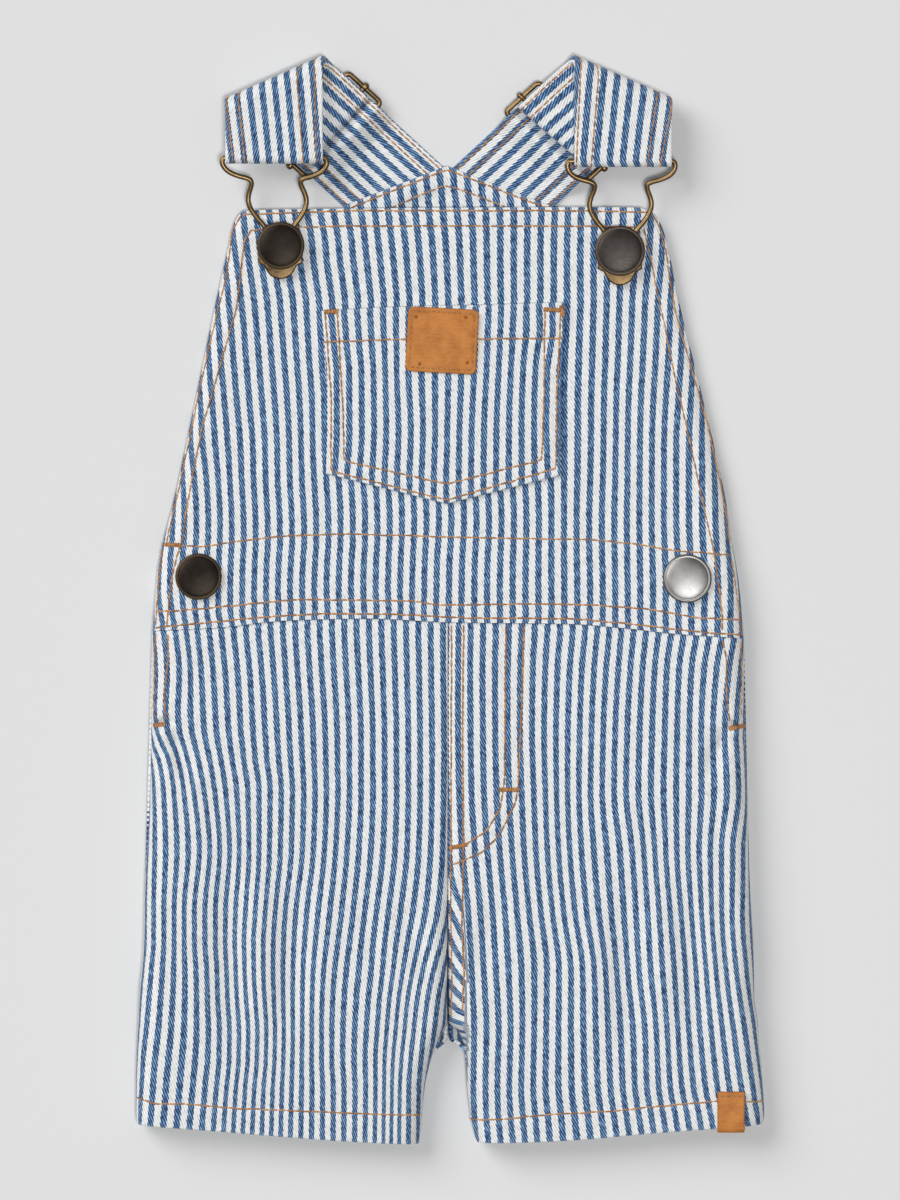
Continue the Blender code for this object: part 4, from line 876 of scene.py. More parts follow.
def sheared_area(points):
    across = np.diff(points, axis=1)[:-1]
    down = np.diff(points, axis=0)[:, :-1]
    return float(np.linalg.norm(np.cross(across, down), axis=2).sum())


def cloth_panel(name, panel, stripes, up, node, step=MESH_STEP, strip=None, wear=None,
                turned_edges=(True, True), rubbed_and_highlit=(0.0, 0.8)):
    """One cut piece: a wall with round lips, its stripes following the grain."""
    xs, ys, rolled = panel.grid(step)
    outer = np.stack([xs, ys, panel.height(xs, ys)], axis=2)
    base = np.stack([xs, ys, panel.height(xs, ys, fine=False)], axis=2)
    normals = grid_normals(base, up)
    inner = base - normals * CLOTH
    from_top = np.linalg.norm(outer - outer[:1], axis=2)
    from_low = np.linalg.norm(outer - outer[-1:], axis=2)
    fall = np.zeros_like(xs)
    for distance, turned in zip((from_top, from_low), turned_edges):
        fall = fall + (lip(distance) if turned else 0.0)
    outer = outer - normals * fall[..., None]
    inner = inner + normals * np.minimum(fall, 0.4)[..., None]
    number = stripe_number(stripes, xs, ys)
    if strip is not None:
        number = strip(xs, ys, number)
    for edge, order in ((slice(None, rolled), -1), (slice(-rolled, None), 1)):
        side = base[:, edge][:, ::order]
        along = np.cumsum(np.linalg.norm(np.diff(side, axis=1), axis=2), axis=1) / STRIPE
        start = number[:, edge][:, ::order][:, :1]
        kept = np.concatenate([start, start + order * along], axis=1)
        planned = number[:, edge][:, ::order]
        spread = ROLL_SPREAD + (1 - ROLL_SPREAD) * np.linspace(0, 1, kept.shape[1]) ** 3
        kept = planned + spread * (kept - planned)
        if strip is None or order == 1:
            number[:, edge] = kept[:, ::order]
    grain = np.stack([number, ys / STRIPE], axis=2)
    worn = wear(xs, ys) if wear else np.zeros_like(xs)
    for distance, share in zip((from_top, from_low), rubbed_and_highlit):
        worn = np.maximum(worn, share * bump(distance / 1.5))
    points = np.concatenate([outer.reshape(-1, 3), inner.reshape(-1, 3)])
    piece = make_piece(
        name, points, wall_faces(*xs.shape, up > 0), DENIM, [node],
        np.concatenate([grain.reshape(-1, 2)] * 2),
        {"wear": np.concatenate([worn.ravel(), worn.ravel() * 0])},
    )
    width = float(np.ptp(xs)) + 6.0
    length = float(np.ptp(ys)) + 6.0
    area = min(sheared_area(base), width * length)
    return piece, (width * MM, length * MM), area * MM * MM


# Sewing

def stitch_places(points, pitch, length):
    """Start and end of each stitch along a line of points, in any number of dimensions."""
    points = np.asarray(points, float)
    steps = np.linalg.norm(np.diff(points, axis=0), axis=1)
    total = np.concatenate([[0], np.cumsum(steps)])
    count = max(1, int(total[-1] / pitch))
    starts = (np.arange(count) + 0.5) * total[-1] / count - length / 2
    share = np.linspace(0, 1, 6)
    where = starts[:, None] + share[None, :] * length
    return np.stack([np.interp(where, total, points[:, k]) for k in range(points.shape[1])], axis=2)


def rounded_line(points, step=0.6):
    """A line with its corners a little rounded."""
    points = np.asarray(points, float)
    total = np.concatenate([[0], np.cumsum(np.linalg.norm(np.diff(points, axis=0), axis=1))])
    count = max(4, int(total[-1] / step))
    s = np.linspace(0, total[-1], count)
    line = np.stack([np.interp(s, total, points[:, k]) for k in range(points.shape[1])], axis=1)
    for _ in range(4):
        line[1:-1] = (line[:-2] + 2 * line[1:-1] + line[2:]) / 4
    return line


class Thread:
    """All the stitches of one piece, gathered as one mesh."""

    SIDES = 6

    def __init__(self, seed):
        self.random = np.random.default_rng(seed)
        self.points = []
        self.grain = []
        self.shade = []

    def add(self, places, normals, radius=THREAD, rise=0.40, sink=0.15):
        """Stitches as rows of middle points on the cloth, with the cloth's normal at each."""
        count, stations = places.shape[:2]
        share = np.linspace(0, 1, stations)
        arch = np.sin(np.pi * np.clip(share, 0.0, 1.0)) ** 0.35
        height = radius * (arch * (rise + sink) - sink)
        jitter = self.random.uniform(0.88, 1.12, (count, 1))
        middle = places + normals * (height[None, :] * jitter)[..., None]
        tangent = np.gradient(middle, axis=1)
        tangent /= np.maximum(np.linalg.norm(tangent, axis=2, keepdims=True), 1e-9)
        side = np.cross(tangent, normals)
        side /= np.maximum(np.linalg.norm(side, axis=2, keepdims=True), 1e-9)
        upward = np.cross(side, tangent)
        swell = radius * (0.55 + 0.45 * arch)
        angles = np.linspace(0, 2 * math.pi, self.SIDES, endpoint=False)
        ring = (
            side[:, :, None] * np.cos(angles)[None, None, :, None]
            + upward[:, :, None] * np.sin(angles)[None, None, :, None] * 0.85
        ) * swell[None, :, None, None]
        self.points.append((middle[:, :, None] + ring).reshape(count, -1, 3))
        turn = np.broadcast_to(angles / (2 * math.pi), (count, stations, self.SIDES))
        run = np.broadcast_to(share[None, :, None], (count, stations, self.SIDES))
        self.grain.append(np.stack([turn, run], axis=3).reshape(count, -1, 2))
        tone = self.random.uniform(0.15, 1.0, (count, 1)) * np.ones((1, stations * self.SIDES))
        self.shade.append(tone)

    def piece(self, name):
        points = np.concatenate([p.reshape(-1, 3) for p in self.points])
        per = self.points[0].shape[1]
        stations = per // self.SIDES
        template = []
        for i in range(stations - 1):
            for k in range(self.SIDES):
                m = (k + 1) % self.SIDES
                a, b = i * self.SIDES, (i + 1) * self.SIDES
                template.append((a + k, b + k, b + m, a + m))
        template = np.array(template)
        firsts = np.arange(len(points) // per) * per
        faces = (firsts[:, None, None] + template[None]).reshape(-1, 4).tolist()
        head = np.arange(self.SIDES)
        tail = (stations - 1) * self.SIDES + np.arange(self.SIDES)[::-1]
        faces += (firsts[:, None] + head[None]).tolist() + (firsts[:, None] + tail[None]).tolist()
        return make_piece(
            name, points, faces, SEWING, (),
            np.concatenate([g.reshape(-1, 2) for g in self.grain]),
            {"shade": np.concatenate([s.ravel() for s in self.shade])},
        )


def on_panel(panel, x, y, step=0.4):
    """Points of a panel's face and the normals there."""
    slope_x = (panel.height(x + step, y) - panel.height(x - step, y)) / (2 * step)
    slope_y = (panel.height(x, y + step) - panel.height(x, y - step)) / (2 * step)
    normals = np.stack([-slope_x, -slope_y, np.ones_like(x)], axis=-1)
    normals /= np.linalg.norm(normals, axis=-1, keepdims=True)
    return np.stack([x, y, panel.height(x, y)], axis=-1), normals


def sew(thread, panel, lines, tacks=(), pitch=STITCH_PITCH, length=STITCH_LENGTH):
    for points in lines:
        where = stitch_places(rounded_line(points), pitch, length)
        where[..., :2] += thread.random.normal(0, 0.06, where[:, :1, :2].shape)
        thread.add(*on_panel(panel, where[..., 0], where[..., 1]))
    for x0, y0, x1, y1 in tacks:
        tack(thread, panel, x0, y0, x1, y1)


def tack(thread, panel, x0, y0, x1, y1, half=0.80, pitch=0.40):
    """A bar tack: threads close together across a short line."""
    length = math.hypot(x1 - x0, y1 - y0)
    along = np.array([x1 - x0, y1 - y0]) / length
    across = np.array([-along[1], along[0]])
    count = int(length / pitch)
    centres = np.array([x0, y0]) + along * (np.arange(count) + 0.5)[:, None] * pitch
    lean = along * 0.16
    ends = np.linspace(-1, 1, 6)[None, :, None]
    spread = half * thread.random.uniform(0.85, 1.1, (count, 1, 1))
    where = centres[:, None] + ends * (across[None, None] * spread + lean)
    places, normals = on_panel(panel, where[..., 0], where[..., 1])
    thread.add(places + normals * 0.15, normals, radius=0.27, rise=1.1, sink=0.9)


# The front bib

def band(lines, x, y, rise, edge=0.7, inside=1):
    """A step at a line: the cloth is thicker on one side of it."""
    distance, side, _ = near_line(lines, x, y)
    return rise * smoothstep(0.5 + inside * side * distance / edge)


def bib_detail(x, y):
    _, left_inner, _, right_inner, top_outer, top_inner, waist_top, upper, lower = STITCHES["bib"][:9]
    z = stitch_troughs(STITCHES["bib"], x, y)
    high = smoothstep((y - 16.0) / 8.0)
    hem = np.maximum(
        np.maximum(band([(-150.0, 137.0)] + top_inner + [(150.0, 138.2)], x, y, 1.0, inside=-1),
                   band(left_inner, x, y, 1.0, inside=1) * high * (x < 0)),
        band(right_inner, x, y, 1.0, inside=-1) * high * (x > 0),
    )
    z = z + HEM_RISE * hem
    z = z + band([(-150.0, 20.4)] + waist_top + [(150.0, 16.6)], x, y, 0.35, edge=1.0)
    z = z + band([(-150.0, -4.0)] + upper + [(150.0, -7.6)], x, y, 0.25, edge=1.2)
    for line in (top_outer, top_inner, waist_top, upper, lower):
        distance, _, along = near_line(line, x, y)
        z = z + 0.07 * np.sin(along * 2 * math.pi / 9.0) * np.exp(-((distance / 2.6) ** 2))
    return z + 0.16 * ripple(x, y, 3, 46.0) + 0.05 * ripple(x, y, 4, 11.0)


def bib_wear(x, y):
    worn = np.zeros_like(x)
    for line in STITCHES["bib"]:
        distance, _, _ = near_line(line, x, y)
        worn = np.maximum(worn, 0.20 * bump(distance / 1.5))
    return worn


ABOVE_SEAM = curve(WAIST_SEAM, SEAM_SETBACK)
BELOW_SEAM = curve(WAIST_SEAM, -SEAM_SETBACK)
bib = Panel(BIB, curve(BIB_TOP), ABOVE_SEAM, BIB_FOLDS, detail=bib_detail)
front_bib, bib_flat, bib_area = cloth_panel(
    "bib_front", bib, BIB_STRIPES, 1, "front_bib",
    wear=bib_wear, turned_edges=(True, False), rubbed_and_highlit=(0.8, 0.15),
)
bib_thread = Thread(11)
sew(bib_thread, bib, STITCHES["bib"], TACKS["bib"])
bib_stitches = bib_thread.piece("bib_stitching")


# The legs

def seam_dive(x, y):
    """The legs' upper edges go in under the waist piece."""
    below = BELOW_SEAM(x) - y
    return -0.35 * smoothstep(1 - below / 2.2)


def side_notch(x, y, line, inward):
    """The deep crease at a side opening's bar tack, puckered above and below."""
    (x0, y0), (x1, y1) = line
    distance, _, _ = near_line(line, x, y)
    middle = smoothstep(inward * (x1 - x) / 3.0 + 0.4)
    below = y - np.interp(x, [min(x0, x1), max(x0, x1)], [y0, y1] if x0 < x1 else [y1, y0])
    pucker = np.exp(-(((below - 3.2) / 1.6) ** 2)) + np.exp(-(((below + 3.2) / 1.6) ** 2))
    crease = np.exp(-((distance / 1.15) ** 2))
    return middle * (0.7 * pucker * np.exp(-((distance / 5.0) ** 2)) - 0.9 * crease)


def right_leg_detail(x, y):
    z = stitch_troughs(STITCHES["right_leg"], x, y) + seam_dive(x, y)
    z = z + side_notch(x, y, [(-111.0, -46.2), (-102.6, -45.0)], 1.0)
    hem = STITCHES["right_leg"][2]
    z = z + band(hem, x, y, HEM_RISE, edge=0.9)
    inner = smoothstep((x + 3.4) / 2.6) * smoothstep((y + 158.0) / 10.0)
    z = z - 0.20 * inner
    distance, _, along = near_line(hem, x, y)
    z = z + 0.10 * np.sin(along * 2 * math.pi / 8.0) * np.exp(-((distance / 3.0) ** 2))
    return z + 0.18 * ripple(x, y, 6, 38.0) + 0.05 * ripple(x, y, 7, 10.0)


def left_leg_detail(x, y):
    z = stitch_troughs(STITCHES["left_leg"], x, y) + seam_dive(x, y)
    z = z + side_notch(x, y, [(110.5, -45.4), (101.4, -47.0)], -1.0)
    hem = STITCHES["left_leg"][6]
    z = z + band(hem, x, y, HEM_RISE, edge=0.9)
    felled = smoothstep((6.0 - x) / 1.4) * smoothstep((y + 160.0) / 8.0)
    z = z + 0.15 * felled
    fold = smoothstep((x - smooth_curve(STRIP_EDGE, y) + 0.8) / 1.4) * smoothstep((-104.0 - y) / 30.0)
    z = z + 0.40 * fold * smoothstep((22.0 - x) / 12.0)
    distance, _, along = near_line(hem, x, y)
    z = z + 0.10 * np.sin(along * 2 * math.pi / 8.5 + 1.0) * np.exp(-((distance / 3.0) ** 2))
    return z + 0.18 * ripple(x, y, 8, 38.0) + 0.05 * ripple(x, y, 9, 10.0)


def crotch_strip(x, y, number):
    """The stripes of the strip beside the seam turn down to the right, towards the crotch."""
    rows = sorted(STRIP_ROWS)
    at_line = smooth_curve([(row[0], row[1]) for row in rows], y)
    growth = smooth_curve([(row[0], row[2]) for row in rows], y)
    strip = at_line + (x - STRIP_X) * growth
    inside = (x < smooth_curve(STRIP_EDGE, y)) & (y < -88.0)
    blend = smoothstep((-88.0 - y) / 18.0)
    return np.where(inside, number * (1 - blend) + strip * blend, number)


def leg_wear(lines):
    def worn(x, y):
        total = np.zeros_like(x)
        for line in lines:
            distance, _, _ = near_line(line, x, y)
            total = np.maximum(total, 0.20 * bump(distance / 1.5))
        return total
    return worn


FRONTS = {}
for side, hem, folds, detail, stripes, strip in (
    ("right", RIGHT_HEM, RIGHT_FOLDS, right_leg_detail, RIGHT_STRIPES, None),
    ("left", LEFT_HEM, LEFT_FOLDS, left_leg_detail, LEFT_STRIPES, crotch_strip),
):
    panel = Panel(front_sections(side), BELOW_SEAM, curve(hem), folds, detail=detail)
    FRONTS[side] = panel
    piece, flat, area = cloth_panel(
        "leg_front_" + side, panel, stripes, 1, "front_leg_" + side, strip=strip,
        wear=leg_wear(STITCHES[side + "_leg"]), turned_edges=(False, True),
    )
    thread = Thread(21 if side == "right" else 22)
    sew(thread, panel, STITCHES[side + "_leg"], TACKS[side + "_leg"])
    stitches = thread.piece("leg_stitching_" + side)
    "back_leg_" + side
    back = Panel(back_sections(side), BELOW_SEAM, curve(hem))
    piece, flat, area = cloth_panel(
        "leg_back_" + side, back, BACK_STRIPES, -1, "back_leg_" + side, step=1.8, turned_edges=(False, True),
    )


# The back bib and its yoke

def yoke_detail(x, y):
    near = smoothstep((y - 140.0) / 3.0)
    return stitch_troughs(STITCHES["yoke"], x, y) * near


class YokeFace:
    """The upper face of the back bib, where its stitching shows."""

    def height(self, x, y, fine=True):
        return back_bib.height(x, y, fine=False) + CLOTH + (yoke_detail(x, y) if fine else 0.0)


def back_bib_piece():
    xs, ys, _ = back_bib.grid(1.3)
    low = np.stack([xs, ys, back_bib.height(xs, ys)], axis=2)
    normals = grid_normals(low, -1)
    upper = low - normals * CLOTH
    upper[..., 2] += yoke_detail(xs, ys)
    from_top = np.linalg.norm(upper - upper[:1], axis=2)
    upper = upper + normals * lip(from_top)[..., None]
    number = 36.0 + (xs + 2.9 + 0.10 * (ys - 148.0)) / 5.07
    grain = np.stack([number, ys / STRIPE], axis=2)
    worn = bump(from_top / 1.8)
    points = np.concatenate([low.reshape(-1, 3), upper.reshape(-1, 3)])
    piece = make_piece(
        "bib_back", points, wall_faces(*xs.shape, False), DENIM, ["back_bib"],
        np.concatenate([grain.reshape(-1, 2)] * 2), {"wear": np.concatenate([worn.ravel()] * 2)},
    )
    width, length = float(np.ptp(xs)) + 6.0, float(np.ptp(ys)) + 6.0
    return piece, (width * MM, length * MM), sheared_area(low) * MM * MM


back_bib = Panel(BACK_BIB, yoke_edge, ABOVE_SEAM, lift=yoke_lift)
back_piece, back_flat, back_area = back_bib_piece()
yoke_thread = Thread(31)
sew(yoke_thread, YokeFace(), STITCHES["yoke"])
yoke_stitches = yoke_thread.piece("yoke_stitching")


# The chest pocket

POCKET_LEFT = [(36.0, -46.0), (76.0, -45.6), (108.0, -47.7)]
POCKET_RIGHT = [(36.0, 40.8), (76.0, 41.2), (112.0, 42.8)]
POCKET_TOP = [(-48.0, 107.0), (-20.0, 108.6), (20.0, 109.6), (43.0, 110.4)]
POCKET_TIP = (-1.1, 35.6)
POCKET_SLOPE = 0.25
POCKET_THICK = 1.1
POCKET_PUFF = 0.7


def pocket_bottom(x):
    return POCKET_TIP[1] + POCKET_SLOPE * np.abs(x - POCKET_TIP[0])


def pocket_points(u, v):
    """Points of the pocket: u runs across it from -1 to 1, v down it from 0 to 1."""
    x = 0.5 * (1 + u) * POCKET_RIGHT[1][1] + 0.5 * (1 - u) * POCKET_LEFT[1][1]
    for _ in range(4):
        y = smooth_curve(POCKET_TOP, x) * (1 - v) + pocket_bottom(x) * v
        left = smooth_curve(POCKET_LEFT, y)
        right = smooth_curve(POCKET_RIGHT, y)
        side = np.where(u > 0, right - POCKET_TIP[0], POCKET_TIP[0] - left)
        x = POCKET_TIP[0] + side * u
    return x, y


def pocket_puff(x, y):
    """Nothing at the sewn sides and the point, most a little above the middle."""
    left = smooth_curve(POCKET_LEFT, y)
    right = smooth_curve(POCKET_RIGHT, y)
    u = np.clip((2 * x - left - right) / (right - left), -1, 1)
    top, low = smooth_curve(POCKET_TOP, x), pocket_bottom(x)
    v = np.clip((top - y) / (top - low), 0, 0.95)
    return POCKET_PUFF * (1 - u * u) * np.clip(1 - np.abs(2 * v - 0.9) ** 3, 0, 1)


def pocket_edge(x, y):
    """Distance in from the pocket's outline."""
    left = x - smooth_curve(POCKET_LEFT, y)
    right = smooth_curve(POCKET_RIGHT, y) - x
    top = smooth_curve(POCKET_TOP, x) - y
    low = (y - pocket_bottom(x)) / math.hypot(1, POCKET_SLOPE)
    return np.minimum(np.minimum(left, right), np.minimum(top, low))


class PocketFace:
    """The pocket's upper face."""

    def height(self, x, y, fine=True):
        z = bib.height(x, y, fine=False) + GAP + POCKET_THICK + pocket_puff(x, y)
        if not fine:
            return z
        z = z + stitch_troughs(STITCHES["pocket"], x, y)
        hem = STITCHES["pocket"][0]
        z = z + 0.35 * smoothstep((y - smooth_curve(hem, x)) / 0.8 + 0.5)
        turned = pocket_edge(x, y)
        z = z + 0.25 * smoothstep((6.4 - turned) / 1.2)
        return z + 0.10 * ripple(x, y, 13, 30.0) + 0.05 * ripple(x, y, 14, 9.0)


def pocket_piece():
    v = np.concatenate([[0, 0.002, 0.005], np.linspace(0.01, 0.99, 74), [0.995, 0.998, 1.0]])
    u = np.concatenate([[-1, -0.997, -0.991], np.linspace(-0.98, 0.98, 87), [0.991, 0.997, 1]])
    us, vs = np.meshgrid(u, v)
    xs, ys = pocket_points(us, vs)
    base = np.stack([xs, ys, pocket_face.height(xs, ys, fine=False)], axis=2)
    upper = np.stack([xs, ys, pocket_face.height(xs, ys)], axis=2)
    normals = grid_normals(base, 1)
    edge = pocket_edge(xs, ys)
    upper = upper - normals * lip(edge, 0.7)[..., None]
    lower = base - normals * POCKET_THICK
    number = stripe_number(POCKET_STRIPES, xs, ys)
    grain = np.stack([number, ys / STRIPE + 0.37], axis=2)
    worn = np.maximum(0.8 * bump(edge / 1.8), 0.2 * bump((edge - 6.4) / 2.0))
    points = np.concatenate([upper.reshape(-1, 3), lower.reshape(-1, 3)])
    piece = make_piece(
        "pocket", points, wall_faces(*xs.shape, True), DENIM, ["chest_pocket"],
        np.concatenate([grain.reshape(-1, 2)] * 2), {"wear": np.concatenate([worn.ravel()] * 2)},
    )
    return piece, sheared_area(base) * MM * MM


pocket_face = PocketFace()
pocket, pocket_area = pocket_piece()
pocket_thread = Thread(41)
sew(pocket_thread, pocket_face, STITCHES["pocket"], TACKS["pocket"])
pocket_stitches = pocket_thread.piece("pocket_stitching")


# The leather patch

PATCH_CENTRE = (-2.9, 96.0)
PATCH_SIZE = (26.2, 24.0)
PATCH_CORNER = 2.2
PATCH_TURN = -3.0
PATCH_RISE = 2.35
PATCH_HOLES = [(-9.9, 8.1), (8.5, 8.9), (-7.7, -9.2), (9.9, -7.8)]
PATCH_SEAM = 1.5         # from its edge


def rounded_square(u, v, half_x, half_y, corner):
    """A square grid drawn in to a rectangle with round corners, and the distance from its edge."""
    x, y = u * half_x, v * half_y
    past_x = np.abs(x) - (half_x - corner)
    past_y = np.abs(y) - (half_y - corner)
    corners = (past_x > 0) & (past_y > 0)
    reach = np.hypot(past_x, past_y)
    share = np.where(corners, np.maximum(past_x, past_y) / np.maximum(reach, 1e-9), 1.0)
    x = np.where(corners, np.sign(x) * (half_x - corner + past_x * share), x)
    y = np.where(corners, np.sign(y) * (half_y - corner + past_y * share), y)
    edge = np.where(
        corners, corner - np.maximum(past_x, past_y), np.minimum(half_x - np.abs(x), half_y - np.abs(y)),
    )
    return x, y, edge


def edge_shares(inner, lips=(0.0, 0.004, 0.012, 0.024, 0.04)):
    """Shares from -1 to 1, close together at both ends."""
    low = -1 + np.array(lips)
    return np.concatenate([low, np.linspace(low[-1], -low[-1], inner)[1:-1], -low[::-1]])


def patch_piece():
    half_x, half_y = PATCH_SIZE[0] / 2, PATCH_SIZE[1] / 2
    u, v = np.meshgrid(edge_shares(72), edge_shares(66)[::-1])
    x, y, edge = rounded_square(u, v, half_x, half_y, PATCH_CORNER)
    turn = math.radians(PATCH_TURN)
    world_x = PATCH_CENTRE[0] + x * math.cos(turn) - y * math.sin(turn)
    world_y = PATCH_CENTRE[1] + x * math.sin(turn) + y * math.cos(turn)
    base = np.full_like(x, bib.height(np.array(-12.0), np.array(108.0), fine=False) + PATCH_RISE + 0.12)
    top = base + LEATHER - lip(edge, 0.5) + 0.06 * ripple(world_x, world_y, 51, 19.0)
    seam = np.abs(edge - PATCH_SEAM)
    top = top - 0.16 * np.exp(-((seam / 0.45) ** 2))
    holes = np.zeros_like(x)
    for hole_x, hole_y in PATCH_HOLES:
        holes = np.maximum(holes, np.exp(-(((x - hole_x) ** 2 + (y - hole_y) ** 2) / 0.30) ** 2))
    top = top - 0.8 * holes
    worn = np.clip(1.3 * holes + 0.55 * bump(edge / 0.7) + 0.3 * np.exp(-((seam / 0.5) ** 2)), 0, 1.4)
    points = np.concatenate([
        np.stack([world_x, world_y, top], axis=2).reshape(-1, 3),
        np.stack([world_x, world_y, base], axis=2).reshape(-1, 3),
    ])
    piece = make_piece(
        "patch", points, wall_faces(*x.shape, True), TAN, ["pocket_patch"],
        marks={"wear": np.concatenate([worn.ravel(), worn.ravel() * 0 + 0.5])},
    )
    thread = Thread(52)
    inset = PATCH_SEAM
    corner = PATCH_CORNER - 0.7
    outline = []
    for quarter, (sx, sy) in enumerate(((1, 1), (-1, 1), (-1, -1), (1, -1))):
        for k in range(5):
            angle = math.radians(90 * quarter + 22.5 * k)
            px = sx * (half_x - inset - corner) + corner * math.cos(angle)
            py = sy * (half_y - inset - corner) + corner * math.sin(angle)
            outline.append((
                PATCH_CENTRE[0] + px * math.cos(turn) - py * math.sin(turn),
                PATCH_CENTRE[1] + px * math.sin(turn) + py * math.cos(turn),
            ))
    line = np.array(outline + outline[:1])
    height = float(base[0, 0]) + LEATHER - 0.12
    places = stitch_places(np.column_stack([line, np.full(len(line), height)]), 1.9, 1.35)
    normals = np.zeros_like(places)
    normals[..., 2] = 1.0
    thread.add(places, normals, radius=0.20, rise=0.5, sink=1.0)
    return piece, thread.piece("patch_stitching")


patch, patch_stitches = patch_piece()


# The straps

StrapPlan = namedtuple("StrapPlan", "side fold_x fold_y back_x back_y bar_y slider slant")
RIGHT_STRAP = StrapPlan("right", -65.0, 193.7, 0.737, -0.676, 163.7, 26.8, 0.02)
LEFT_STRAP = StrapPlan("left", 63.95, 193.9, -0.735, -0.678, 162.5, 30.3, 0.115)

SLIDER_HALF = 8.3
END_TURN = 1.5
SLIDER_LENGTH = 41.0
SLIDER_CORNER = 1.5
SLIDER_SHIFT = 0.2
BAR_PROUD = 1.6
BAR_WRAP = 1.3           # radius of the bar's ends, which wrap the wire
RAMP = 16.0
PAST_BAR = 4.0
CLIP_BAR_Z = 10.5
FOLD_START_Z = 3.0
FOLD_RADIUS = 4.6
ROUND_WIRE = WIRE + GAP + STRAP_THICK / 2
UNDER_END = ROUND_WIRE + STRAP_THICK + GAP
SLIDER_Z = STRAP_THICK / 2 + UNDER_END


def belt(stops, step=math.radians(10)):
    """Points of a line drawn tight over circles; turn is 1 where it bends left and -1 where right."""
    points = [stops[0][:2]]
    headings = []
    for (x0, z0, r0, t0), (x1, z1, r1, t1) in zip(stops, stops[1:]):
        dx, dz = x1 - x0, z1 - z0
        headings.append(math.atan2(dz, dx) - math.asin((t1 * r1 - t0 * r0) / math.hypot(dx, dz)))
    for (x, z, radius, turn), arriving, leaving in zip(stops[1:], headings, headings[1:]):
        bend = leaving - arriving
        while bend * turn < -1e-9:
            bend += turn * 2 * math.pi
        count = max(1, math.ceil(abs(bend) / step))
        for k in range(count + 1):
            heading = arriving + bend * k / count
            points.append((x + turn * radius * math.sin(heading), z - turn * radius * math.cos(heading)))
    points.append(stops[-1][:2])
    return points


class StrapFrame:
    """Places on one strap: along its front part, along its back part, and round its fold."""

    def __init__(self, plan):
        turn = 1.0 if plan.side == "right" else -1.0
        self.fold = np.array((plan.fold_x, plan.fold_y))
        self.back = np.array((plan.back_x, plan.back_y))
        self.back /= np.linalg.norm(self.back)
        self.back_across = turn * np.array((-self.back[1], self.back[0]))
        self.front = np.array((0.0, -1.0))
        self.front_across = np.array((turn, 0.0))
        line = self.back - self.front
        self.line = line / np.linalg.norm(line)
        inward = np.array((self.line[1], -self.line[0]))
        self.inward = inward if inward[1] < 0 else -inward
        self.depth = FOLD_RADIUS + STRAP_THICK / 2
        self.slider = plan.slider
        self.slant = plan.slant

    def at_slider(self, along, across, z):
        """A place along the back part, measured from the middle of the slider."""
        return self.on_back(self.slider + along + self.slant * across, across, z)

    def on_back(self, along, across, z):
        return (*(self.fold + along * self.back + across * self.back_across), z)

    def on_front(self, along, across, z):
        return (*(self.fold + along * self.front + across * self.front_across), z)

    def round_fold(self, angle, across, radius):
        """A point of the bend: angle runs from -90 degrees at the back to 90 at the front."""
        lean = self.line @ self.back
        wide = self.line @ self.back_across
        start = (across + lean * self.depth) / wide
        end = (across - lean * self.depth) / wide
        share = 0.5 + angle / math.pi
        plan = self.fold + (start * (1 - share) + end * share) * self.line
        plan = plan + (self.depth - radius * math.cos(angle)) * self.inward
        return (*plan, FOLD_START_Z + FOLD_RADIUS + radius * math.sin(angle))


def yoke_meeting(place, across, tuck):
    """How far along the back part an edge of the strap ends, under the yoke and short of the other strap."""
    low, high = 20.0, 90.0
    outward = math.copysign(1.0, place.fold[0])
    for _ in range(40):
        mid = (low + high) / 2
        x, y, _ = place.on_back(mid, across, 0.0)
        if y > yoke_edge(x) - tuck and x * outward > GAP:
            low = mid
        else:
            high = mid
    return low


